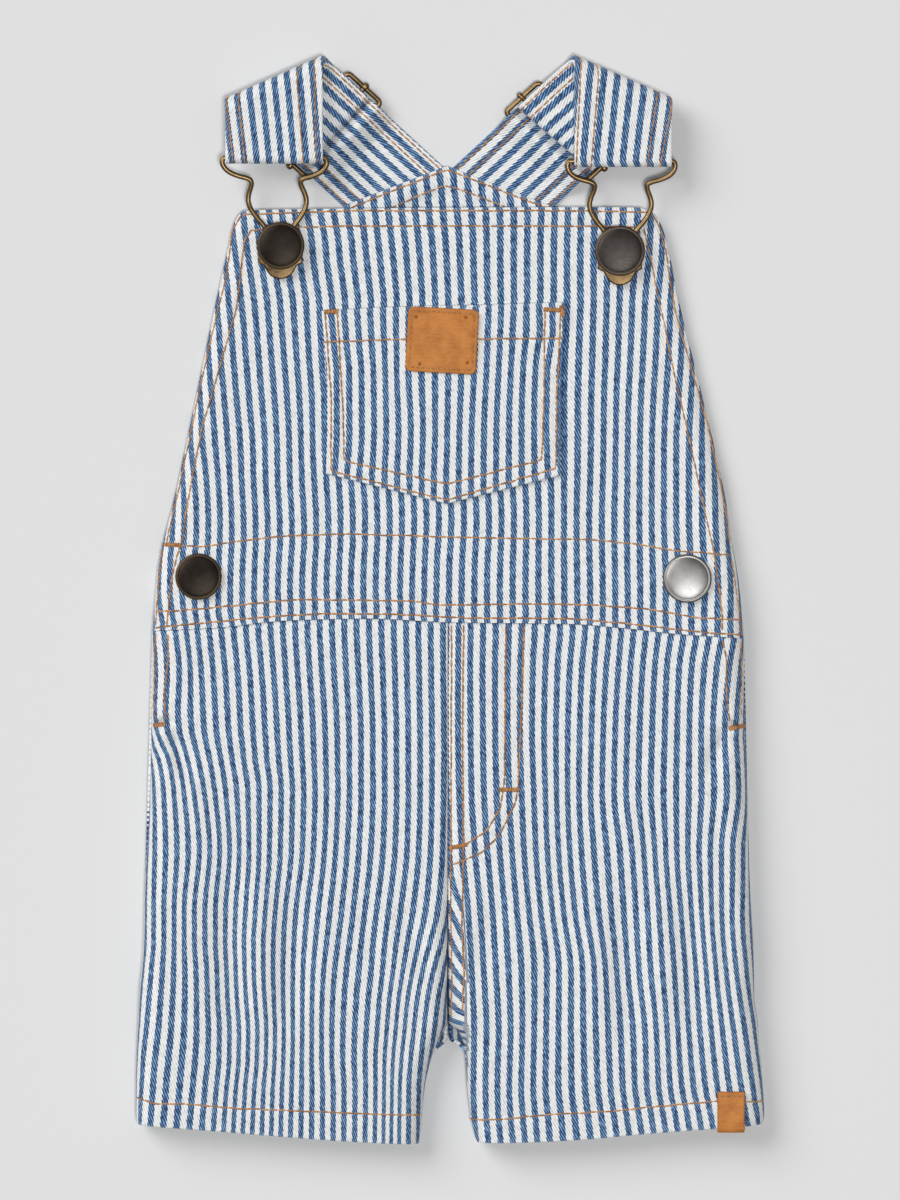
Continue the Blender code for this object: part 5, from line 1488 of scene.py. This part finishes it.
def strap_middle(plan, places):
    """The middle face of the strap as stations of points across it, from the yoke to its end.

    With each station go how far down the front it lies, how much of the fold it is past, and how
    far it is on from the front's outer layer to the inner one.
    """
    place = StrapFrame(plan)
    floor = STRAP_THICK / 2
    stations = [[place.on_back(yoke_meeting(place, w, YOKE_TUCK), w, floor) for w in places]]
    running = belt([
        (RAMP, floor, 0.0, 1),
        (SLIDER_HALF, SLIDER_Z, ROUND_WIRE, 1),
        (END_TURN, SLIDER_Z, UNDER_END, -1),
        (0.0, SLIDER_Z, UNDER_END, -1),
        (-SLIDER_HALF, SLIDER_Z, ROUND_WIRE, 1),
        (-SLIDER_HALF - PAST_BAR, SLIDER_Z + ROUND_WIRE - 0.5, 0.0, 1),
    ])
    stations += [[place.at_slider(t, w, z) for w in places] for t, z in running[:-1]]
    marks = [(0.0, 0.0, 0.0)] * len(stations)
    angles = np.radians(np.linspace(-90, 90, 19))
    stations += [[place.round_fold(a, w, FOLD_RADIUS) for w in places] for a in angles]
    marks += [(0.0, 0.5 + a / math.pi, 0.0) for a in angles]
    bar_along = place.fold[1] - plan.bar_y
    for degrees in range(90, -91, -10):
        angle = math.radians(degrees)
        along = bar_along + ROUND_WIRE * math.cos(angle)
        z = CLIP_BAR_Z + ROUND_WIRE * math.sin(angle)
        stations.append([place.on_front(along, w, z) for w in places])
        marks.append((along, 1.0, 0.5 - degrees / 180))
    inner = FOLD_RADIUS - LAYER
    stations += [[place.round_fold(a, w, inner) for w in places] for a in angles[::-1]]
    marks += [(0.0, 0.5 + a / math.pi, 1.0) for a in angles[::-1]]
    upper = belt([
        (-SLIDER_HALF - PAST_BAR, SLIDER_Z + ROUND_WIRE, 0.0, -1),
        (-SLIDER_HALF, SLIDER_Z, ROUND_WIRE + LAYER, -1),
        (0.0, SLIDER_Z, ROUND_WIRE, -1),
        (END_TURN, SLIDER_Z, ROUND_WIRE, -1),
        (-1.0, SLIDER_Z - ROUND_WIRE, 0.0, -1),
    ])
    stations += [[place.at_slider(t, w, z) for w in places] for t, z in upper[1:]]
    marks += [(0.0, 0.0, 1.0)] * (len(stations) - len(marks))
    marks = np.broadcast_to(np.array(marks)[:, None], (len(marks), len(places), 3))
    return np.concatenate([np.array(stations), marks], axis=2)


def finer(stations, step):
    """Extra stations on the straight parts, and none that lie on the one before."""
    out = [stations[0]]
    for before, after in zip(stations, stations[1:]):
        reach = float(np.linalg.norm((after - before)[:, :3], axis=1).max())
        if reach < 0.05:
            continue
        count = max(1, int(round(reach / step)))
        out += [before + (after - before) * (k / count) for k in range(1, count + 1)]
    return np.array(out)


def across_line(grid, across, places):
    """Points of the strap's grid at one place across for each station."""
    k = np.clip(np.searchsorted(across, places), 1, len(across) - 1)
    share = ((places - across[k - 1]) / (across[k] - across[k - 1]))[:, None]
    rows = np.arange(len(grid))
    return grid[rows, k - 1] * (1 - share) + grid[rows, k] * share


# Rows of stitching as places across: on the back, then on the front at the fold and at the clip's bar
StrapRows = namedtuple("StrapRows", "back fold bar")
STRAP_ROWS = {
    "right": [StrapRows(-16.5, -17.2, -15.2), StrapRows(-12.0, -12.9, -10.9),
              StrapRows(12.0, 8.4, 10.7), StrapRows(16.5, 14.9, 15.7)],
    "left": [StrapRows(-16.5, -17.6, -14.1), StrapRows(-12.0, -12.2, -9.3),
             StrapRows(12.0, 9.2, 11.6), StrapRows(16.5, 15.7, 17.2)],
}
FRONT_LENGTH = 31.0      # of the strap that shows below its fold
# Stripes: the first blue one across, their pitch, the front's lean, and a step of the inner layer
StrapStripes = namedtuple("StrapStripes", "phase pitch lean step")
STRAP_STRIPES = {
    "right": StrapStripes(0.49, 4.57, 0.072, 0.0),
    "left": StrapStripes(-2.34, 4.87, 0.08, 0.5),
}


def strap_piece(plan):
    """One strap: a double ribbon with two rows of stitching near each edge."""
    stripes = STRAP_STRIPES[plan.side]
    half = STRAP_WIDTH / 2
    across = half * edge_shares(45, (0.0, 0.008, 0.022, 0.04))
    stations = finer(strap_middle(plan, across), 1.1)
    middle = stations[..., :3]
    down_front, turned, inner = np.moveaxis(stations[..., 3:], 2, 0)
    down = np.gradient(middle, axis=0, edge_order=2)
    side = np.gradient(middle, axis=1, edge_order=2)
    normals = np.cross(down, side)
    normals /= np.linalg.norm(normals, axis=2, keepdims=True)
    edge = half - np.abs(across)
    steps = np.linalg.norm(np.diff(middle[:, len(across) // 2], axis=0), axis=1)
    along = np.concatenate([[0], np.cumsum(steps)])
    share = down_front[:, 0] / FRONT_LENGTH
    seams = []
    for row in STRAP_ROWS[plan.side]:
        front = row.fold + (row.bar - row.fold) * share
        seams.append(row.back + (front - row.back) * turned[:, 0])
    dent = sum(0.18 * np.exp(-(((across[None, :] - seam[:, None]) / 0.75) ** 2)) for seam in seams)
    wave = 0.05 * np.sin(along[:, None] * 2 * math.pi / 8.0) * np.exp(-(((edge - 1.5) / 2.0) ** 2))[None, :]
    thick = STRAP_THICK / 2 - lip(edge, 0.5)[None, :] - dent + wave
    number = (across[None, :] - stripes.phase - stripes.lean * down_front) / stripes.pitch
    number = number + stripes.step * inner
    grain = np.stack([number, np.broadcast_to(along[:, None] / STRIPE, number.shape)], axis=2)
    worn = np.broadcast_to(0.75 * bump(edge / 1.5)[None, :], number.shape)
    points = np.concatenate([
        (middle + normals * thick[..., None]).reshape(-1, 3),
        (middle - normals * thick[..., None]).reshape(-1, 3),
    ])
    grains = np.concatenate([grain.reshape(-1, 2)] * 2)
    piece = make_piece(
        "strap_cloth_" + plan.side, points, wall_faces(*number.shape, True), DENIM,
        ["strap_" + plan.side], grains, {"wear": np.concatenate([worn.ravel()] * 2)},
    )
    thread = Thread(61 if plan.side == "right" else 62)
    for seam in seams:
        line = across_line(middle, across, seam)
        facing = across_line(normals, across, seam)
        for face in (1, -1):
            both = np.concatenate([line + face * facing * (STRAP_THICK / 2 - 0.16), facing * face], axis=1)
            steps = np.concatenate([[0], np.cumsum(np.linalg.norm(np.diff(both[:, :3], axis=0), axis=1))])
            count = int(steps[-1] / STITCH_PITCH)
            starts = (np.arange(count) + 0.5) * steps[-1] / count - STITCH_LENGTH / 2
            where = starts[:, None] + np.linspace(0, 1, 6)[None, :] * STITCH_LENGTH
            found = np.stack([np.interp(where, steps, both[:, m]) for m in range(6)], axis=2)
            found = found[found[..., 2].min(axis=1) > 0.35]
            facing_there = found[..., 3:] / np.linalg.norm(found[..., 3:], axis=2, keepdims=True)
            thread.add(found[..., :3], facing_there, radius=STRAP_THREAD, rise=0.4, sink=0.45)
    return piece, thread.piece("strap_stitching_" + plan.side), float(along[-1])


# Wire, brass and buttons

def facing_out(points, faces):
    """A closed mesh's faces, all turned to face out."""
    volume = 0.0
    for face in faces:
        for second, third in zip(face[1:], face[2:]):
            volume += float(np.dot(points[face[0]], np.cross(points[second], points[third])))
    return faces if volume > 0 else [tuple(face)[::-1] for face in faces]


def wire_mesh(path, radius, sides=16, closed=True):
    """A round wire along a path in nearly level planes, closed on itself or with domed ends."""
    path = np.asarray(path, float)
    count = len(path)
    if closed:
        along = np.roll(path, -1, axis=0) - np.roll(path, 1, axis=0)
        radii = np.full(count, radius)
    else:
        heading = (path[-1] - path[0]) / np.linalg.norm(path[-1] - path[0])
        dome = [0.0, 0.02, 0.15, 0.4, 0.7, 1.0]
        start = [path[0] + heading * radius * d for d in dome]
        end = [path[-1] - heading * radius * d for d in reversed(dome)]
        path = np.array(start + end)
        count = len(path)
        swell = [0.05, 0.35, 0.6, 0.83, 0.96, 1.0]
        radii = radius * np.array(swell + swell[::-1])
        along = np.tile(heading, (count, 1))
    along = along / np.linalg.norm(along, axis=1, keepdims=True)
    sideways = np.cross(along, (0.0, 0.0, 1.0))
    sideways /= np.linalg.norm(sideways, axis=1, keepdims=True)
    upward = np.cross(sideways, along)
    angles = np.linspace(0, 2 * math.pi, sides, endpoint=False)
    points = path[:, None] + radii[:, None, None] * (
        sideways[:, None] * np.cos(angles)[None, :, None] + upward[:, None] * np.sin(angles)[None, :, None]
    )
    faces = []
    for i in range(count if closed else count - 1):
        for k in range(sides):
            m = (k + 1) % sides
            n = (i + 1) % count
            faces.append((i * sides + k, i * sides + m, n * sides + m, n * sides + k))
    if not closed:
        faces.append(tuple(range(sides))[::-1])
        faces.append(tuple(range((count - 1) * sides, count * sides)))
    points = points.reshape(-1, 3)
    # The third part is a painted highlight for the brass finish: 1 where the wire's surface faces straight
    # up, 0 on its sides and underside.
    return points, facing_out(points, faces), np.tile(np.clip(np.sin(angles), 0, 1), count)


def smooth_loop(points, times=3):
    """A closed path with new points between the old ones, its corners drawn in a little."""
    path = np.asarray(points, float)
    for _ in range(times):
        following = np.roll(path, -1, axis=0)
        pairs = np.stack([path * 0.75 + following * 0.25, path * 0.25 + following * 0.75], axis=1)
        path = pairs.reshape(-1, path.shape[1])
    return path


def joined(parts):
    """Several meshes as one: points, faces and how much painted highlight each point gets."""
    points, faces, wear = [], [], []
    first = 0
    for part_points, part_faces, part_highlight in parts:
        points.append(part_points)
        wear.append(part_highlight)
        faces += [tuple(first + i for i in face) for face in part_faces]
        first += len(part_points)
    return np.concatenate(points), faces, np.concatenate(wear)


def slider_piece(plan):
    place = StrapFrame(plan)
    half_long = SLIDER_LENGTH / 2 - WIRE
    outline = []
    for quarter, (sa, sw) in enumerate(((1, 1), (-1, 1), (-1, -1), (1, -1))):
        for k in range(7):
            angle = math.radians(90 * quarter + 15 * k)
            outline.append(place.at_slider(
                sa * (SLIDER_HALF - SLIDER_CORNER) + SLIDER_CORNER * math.cos(angle),
                SLIDER_SHIFT + sw * (half_long - SLIDER_CORNER) + SLIDER_CORNER * math.sin(angle),
                SLIDER_Z,
            ))
    ends = [place.at_slider(0.0, SLIDER_SHIFT + s * (half_long + BAR_PROUD + 0.4), SLIDER_Z) for s in (-1, 1)]
    parts = [wire_mesh(outline, WIRE), wire_mesh(ends, BAR_WIRE, closed=False)]
    wrapped = (STRAP_WIDTH / 2 + 0.6, half_long + BAR_PROUD + 0.5)
    for s in (-1, 1):
        wrap = [place.at_slider(0.0, s * reach, SLIDER_Z) for reach in wrapped]
        parts.append(wire_mesh(wrap, BAR_WRAP, closed=False))
    points, faces, wear = joined(parts)
    return make_piece(
        "slide_" + plan.side, points, faces, BRASS, ["slider_" + plan.side],
        marks={"wear": wear},
    )


ClipRow = namedtuple("ClipRow", "down right left")
CLIP_ROWS = [
    ClipRow(0.0, 18.25, 18.8), ClipRow(0.9, 19.25, 19.8), ClipRow(2.7, 19.4, 20.0), ClipRow(5.2, 17.7, 18.5),
    ClipRow(6.8, 14.3, 15.1), ClipRow(7.7, 10.5, 11.2), ClipRow(8.7, 9.0, 9.6), ClipRow(10.5, 9.2, 9.8),
    ClipRow(13.2, 10.4, 11.0), ClipRow(15.8, 10.9, 11.6), ClipRow(18.6, 10.3, 10.9), ClipRow(21.6, 8.5, 9.0),
    ClipRow(25.2, 5.4, 5.7), ClipRow(28.4, 4.2, 4.3), ClipRow(32.0, 4.1, 4.1), ClipRow(36.0, 4.4, 4.4),
    ClipRow(39.4, 4.5, 4.5), ClipRow(42.2, 3.3, 3.3), ClipRow(43.4, 1.1, 1.1),
]
BUTTON_DOWN = 32.6
ClipPlan = namedtuple("ClipPlan", "side bar_x foot_x bar_y length")
RIGHT_CLIP = ClipPlan("right", -65.0, -62.8, RIGHT_STRAP.bar_y, 1.0)
LEFT_CLIP = ClipPlan("left", 63.35, 62.9, LEFT_STRAP.bar_y, 1.025)
CLIP_REST_Z = 6.6
CLIP_DROP = (1.0, 17.0)
KEEPER_HALF = [(31.0, 3.3), (31.0, 5.6), (35.0, 6.2), (35.8, 8.2), (39.0, 8.2), (40.0, 6.0)]
KEEPER_FOOT = (39.2, 5.7)
SHANK_SLOT = (33.8, 3.1)
KEEPER_THICK = 2.1


def clip_place(plan, down, across):
    lean = (plan.foot_x - plan.bar_x) * min(down / BUTTON_DOWN, 1.0)
    return plan.bar_x + lean + across, plan.bar_y - down * plan.length


def clip_height(down):
    start, end = CLIP_DROP
    return CLIP_BAR_Z + (CLIP_REST_Z - CLIP_BAR_Z) * smoothstep((down - start) / (end - start))


def keeper_mesh(plan):
    """The stamped plate below the button, with rounded edges."""
    foot_down, foot_radius = KEEPER_FOOT
    slot_down, slot_radius = SHANK_SLOT
    foot = [math.radians(a) for a in range(0, 90, 9)]
    edge = list(KEEPER_HALF)
    edge += [(foot_down + foot_radius * math.sin(a), foot_radius * math.cos(a)) for a in foot[3:]]
    notch = [(slot_down + slot_radius * math.sin(a), slot_radius * math.cos(a)) for a in reversed(foot)]
    outline = edge + [(foot_down + foot_radius, 0.0)] + [(d, -a) for d, a in reversed(edge)]
    outline += [(d, -a) for d, a in reversed(notch)] + [(slot_down + slot_radius, 0.0)] + notch
    base_z = CLIP_REST_Z - KEEPER_THICK / 2
    bm = bmesh.new()
    base = [bm.verts.new((*clip_place(plan, d, a), base_z)) for d, a in outline]
    face = bm.faces.new(base)
    lifted = bmesh.ops.extrude_face_region(bm, geom=[face])
    top = [item for item in lifted["geom"] if isinstance(item, bmesh.types.BMVert)]
    bmesh.ops.translate(bm, verts=top, vec=(0, 0, KEEPER_THICK))
    bmesh.ops.recalc_face_normals(bm, faces=bm.faces)
    level = [edge for edge in bm.edges if abs(edge.verts[0].co.z - edge.verts[1].co.z) < 1e-6]
    bmesh.ops.bevel(bm, geom=level, offset=0.55, segments=4, profile=0.5, affect="EDGES")
    bmesh.ops.triangulate(bm, faces=[f for f in bm.faces if len(f.verts) > 4])
    bm.verts.index_update()
    points = np.array([v.co[:] for v in bm.verts])
    faces = [tuple(v.index for v in f.verts) for f in bm.faces]
    bm.free()
    # Painted highlight on the plate's top face, less on its sides.
    return points, faces, np.where(points[:, 2] > base_z + 1.5, 0.22, 0.05)


def clip_piece(plan):
    half = [(row.down, getattr(row, plan.side)) for row in CLIP_ROWS]
    whole = half + [(down, -across) for down, across in reversed(half)]
    path = smooth_loop(whole, 2)
    heights = clip_height(path[:, 0])
    places = np.array([(*clip_place(plan, d, a), z) for (d, a), z in zip(path, heights)])
    points, faces, wear = joined([wire_mesh(places, WIRE), keeper_mesh(plan)])
    return make_piece(
        "clip_wire_" + plan.side, points, faces, BRASS, ["clip_" + plan.side],
        marks={"wear": wear},
    )


ButtonPlan = namedtuple("ButtonPlan", "name x y radius shank finish slot")
BUTTONS = [
    ButtonPlan("bib_button_right", -62.6, 131.0, 8.8, 2.9, DARK_BUTTON, "dark_metal"),
    ButtonPlan("bib_button_left", 62.9, 129.1, 9.3, 2.9, GREY_BUTTON, "dark_metal"),
    ButtonPlan("waist_button_right", -92.9, 8.5, 8.6, 0.5, DARK_BUTTON, "dark_metal"),
    ButtonPlan("waist_button_left", 87.7, 7.8, 9.0, 0.5, PALE_BUTTON, "pale_metal"),
]
SHANK_FOOT = 2.6
SHANK_NECK = 2.4
BUTTON_STEP = 3.0
# The cap from the neck to its middle: distance in from the rim, height above its underside, rubbing
CAP = [
    (5.0, 0.25, 0.0), (1.6, 0.10, 0.0), (0.75, 0.0, 0.1), (0.35, 0.12, 0.3), (0.08, 0.42, 0.6),
    (0.0, 0.8, 0.9),
    (0.05, 1.15, 1.0), (0.25, 1.48, 1.0), (0.55, 1.66, 0.7), (0.85, 1.68, 0.3), (1.05, 1.60, 0.0),
    (1.20, 1.58, 0.0), (1.40, 1.70, 0.1), (1.9, 1.86, 0.05), (3.0, 2.08, 0.0), (4.6, 2.28, 0.0),
    (6.6, 2.42, 0.0),
]
CAP_TOP = 2.48


def button_piece(plan, steps=64):
    under = GAP + plan.shank
    profile = [(0.02, GAP, 0.0), (SHANK_FOOT, GAP, 0.0)]
    profile += [(SHANK_NECK, GAP + 0.2, 0.0), (SHANK_NECK, under + 0.2, 0.0)]
    profile += [(plan.radius - inset, under + height, wear) for inset, height, wear in CAP[1:]]
    profile.append((0.02, under + CAP_TOP, 0.0))
    centre = np.array((plan.x, plan.y, float(bib.height(np.array(plan.x), np.array(plan.y), fine=False))))
    step = BUTTON_STEP
    x, y = np.array(plan.x), np.array(plan.y)
    slope_x = float(bib.height(x + step, y, fine=False) - bib.height(x - step, y, fine=False)) / (2 * step)
    slope_y = float(bib.height(x, y + step, fine=False) - bib.height(x, y - step, fine=False)) / (2 * step)
    axis = np.array((-slope_x, -slope_y, 1.0))
    axis /= np.linalg.norm(axis)
    sideways = np.cross(axis, (0.0, 1.0, 0.0))
    sideways /= np.linalg.norm(sideways)
    forward = np.cross(axis, sideways)
    angles = np.linspace(0, 2 * math.pi, steps, endpoint=False)
    ring = sideways[None, :] * np.cos(angles)[:, None] + forward[None, :] * np.sin(angles)[:, None]
    points = np.concatenate([centre + axis * height + ring * radius for radius, height, _ in profile])
    wear = np.repeat([rubbed_and_highlit for _, _, rubbed_and_highlit in profile], steps)
    faces = []
    for i in range(len(profile) - 1):
        for k in range(steps):
            m = (k + 1) % steps
            faces.append((i * steps + k, (i + 1) * steps + k, (i + 1) * steps + m, i * steps + m))
    faces.append(tuple(range(steps)))
    faces.append(tuple(range((len(profile) - 1) * steps, len(profile) * steps))[::-1])
    name = plan.name.replace("button", "shank_button")
    faces = facing_out(points, faces)
    return make_piece(name, points, faces, plan.finish, [plan.name], marks={"wear": wear})


for plan in (RIGHT_STRAP, LEFT_STRAP):
    cloth, stitches, length = strap_piece(plan)
    slide = slider_piece(plan)
for plan in (RIGHT_CLIP, LEFT_CLIP):
    clip_piece(plan)
for plan in BUTTONS:
    button_piece(plan)


# The leather tab over the hem

TAB_LEFT, TAB_RIGHT = 98.7, 108.7
TAB_FRONT_TOP = -181.4
TAB_INSIDE_TOP = -186.0
TAB_PAST_HEM = 0.3


def tab_piece():
    leg = FRONTS["left"]
    half = (TAB_RIGHT - TAB_LEFT) / 2
    xs = (TAB_LEFT + TAB_RIGHT) / 2 + half * edge_shares(11, (0.0, 0.03, 0.08, 0.14))
    leather_half = LEATHER / 2
    hem = float(smooth_curve(LEFT_HEM, (TAB_LEFT + TAB_RIGHT) / 2)) + TAB_PAST_HEM

    def off_leg(y, rise):
        x = xs
        ys = np.full_like(xs, y)
        step = 0.5
        z = leg.height(x, ys, fine=False)
        slope_x = (leg.height(x + step, ys, fine=False) - leg.height(x - step, ys, fine=False)) / (2 * step)
        slope_y = (leg.height(x, ys + step, fine=False) - leg.height(x, ys - step, fine=False)) / (2 * step)
        normals = np.stack([-slope_x, -slope_y, np.ones_like(x)], axis=1)
        normals /= np.linalg.norm(normals, axis=1, keepdims=True)
        return np.stack([x, ys, z], axis=1) + normals * rise, normals

    stations = []
    for y in np.concatenate([[TAB_FRONT_TOP, TAB_FRONT_TOP - 0.15, TAB_FRONT_TOP - 0.4],
                             np.linspace(TAB_FRONT_TOP - 0.7, hem, 16)]):
        stations.append(off_leg(y, TAB_GAP + 0.35 * smoothstep((y - hem) / 3.0) + leather_half)[0])
    surface, normals = off_leg(hem, -CLOTH / 2)
    radius = CLOTH / 2 + TAB_GAP + leather_half
    for degrees in range(15, 181, 15):
        angle = math.radians(degrees)
        around = normals * math.cos(angle) + np.array((0.0, -1.0, 0.0)) * math.sin(angle)
        stations.append(surface + radius * around)
    for y in np.linspace(hem + 1.0, TAB_INSIDE_TOP, 8):
        stations.append(off_leg(y, -(CLOTH + TAB_GAP + leather_half))[0])
    middle = np.array(stations)
    down = np.gradient(middle, axis=0, edge_order=2)
    side = np.gradient(middle, axis=1, edge_order=2)
    facing = np.cross(down, side)
    facing /= np.linalg.norm(facing, axis=2, keepdims=True)
    edge = np.minimum(half - np.abs(xs - (TAB_LEFT + TAB_RIGHT) / 2), 9.0)[None, :]
    from_top = np.linalg.norm(middle - middle[:1], axis=2)
    edge = np.minimum(edge, from_top)
    thick = leather_half - lip(edge, 0.45)
    seam = np.abs(from_top - 1.6)
    outer = thick - 0.14 * np.exp(-((seam / 0.45) ** 2))
    worn = np.clip(0.5 * bump(edge / 0.7) + 0.3 * np.exp(-((seam / 0.5) ** 2)), 0, 1)
    points = np.concatenate([
        (middle + facing * outer[..., None]).reshape(-1, 3),
        (middle - facing * thick[..., None]).reshape(-1, 3),
    ])
    piece = make_piece(
        "tab", points, wall_faces(*from_top.shape, True), TAN, ["hem_tab"],
        marks={"wear": np.concatenate([worn.ravel()] * 2)},
    )
    thread = Thread(71)
    row = int(np.argmin(np.abs(from_top[:, len(xs) // 2] - 1.6)))
    line = (middle + facing * (leather_half - 0.1))[row, 3:-3]
    places = stitch_places(line, 1.8, 1.3)
    normals = np.broadcast_to(facing[row, len(xs) // 2], places.shape)
    thread.add(places, normals, radius=0.2, rise=0.5, sink=1.0)
    length = float(np.linalg.norm(np.diff(middle[:, len(xs) // 2], axis=0), axis=1).sum())
    return piece, thread.piece("tab_stitching"), length


tab, tab_stitches, tab_length = tab_piece()
tab_length * MM


# Floor, light and camera

FRAME_HEIGHT = 0.444     # of the picture, at the cloth
CAMERA_UP = 2.4
CLOTH_LEVEL = 0.008


def studio():
    bpy.ops.mesh.primitive_plane_add(size=8.0)
    floor = bpy.context.object
    floor.name = "floor"
    floor.data.materials.append(studio_floor())
    world = bpy.data.worlds.new("studio_world")
    world.use_nodes = True
    world.node_tree.nodes["Background"].inputs["Color"].default_value = (1.0, 1.0, 1.0, 1.0)
    world.node_tree.nodes["Background"].inputs["Strength"].default_value = SKY
    bpy.context.scene.world = world
    for name, place, size, power in LAMPS:
        lamp = bpy.data.lights.new(name, "AREA")
        lamp.shape = "DISK"
        lamp.size = size
        lamp.energy = power
        holder = bpy.data.objects.new(name, lamp)
        holder.location = place
        holder.rotation_euler = (-Vector(place)).to_track_quat("-Z", "Y").to_euler()
        bpy.context.scene.collection.objects.link(holder)
    camera = bpy.data.cameras.new("camera")
    camera.sensor_width = 36.0
    camera.lens = 36.0 * (CAMERA_UP - CLOTH_LEVEL) / FRAME_HEIGHT
    camera.clip_end = 20.0
    holder = bpy.data.objects.new("camera", camera)
    holder.location = (0.0, 0.0, CAMERA_UP)
    bpy.context.scene.collection.objects.link(holder)
    bpy.context.scene.camera = holder
    bpy.context.scene.view_settings.view_transform = "Standard"


SKY = 0.20
LAMPS = [
    ("key", (-5.2, 4.0, 5.2), 6.0, 445.0),
    ("top", (0.3, -0.5, 3.4), 0.6, 54.0),
]
studio()
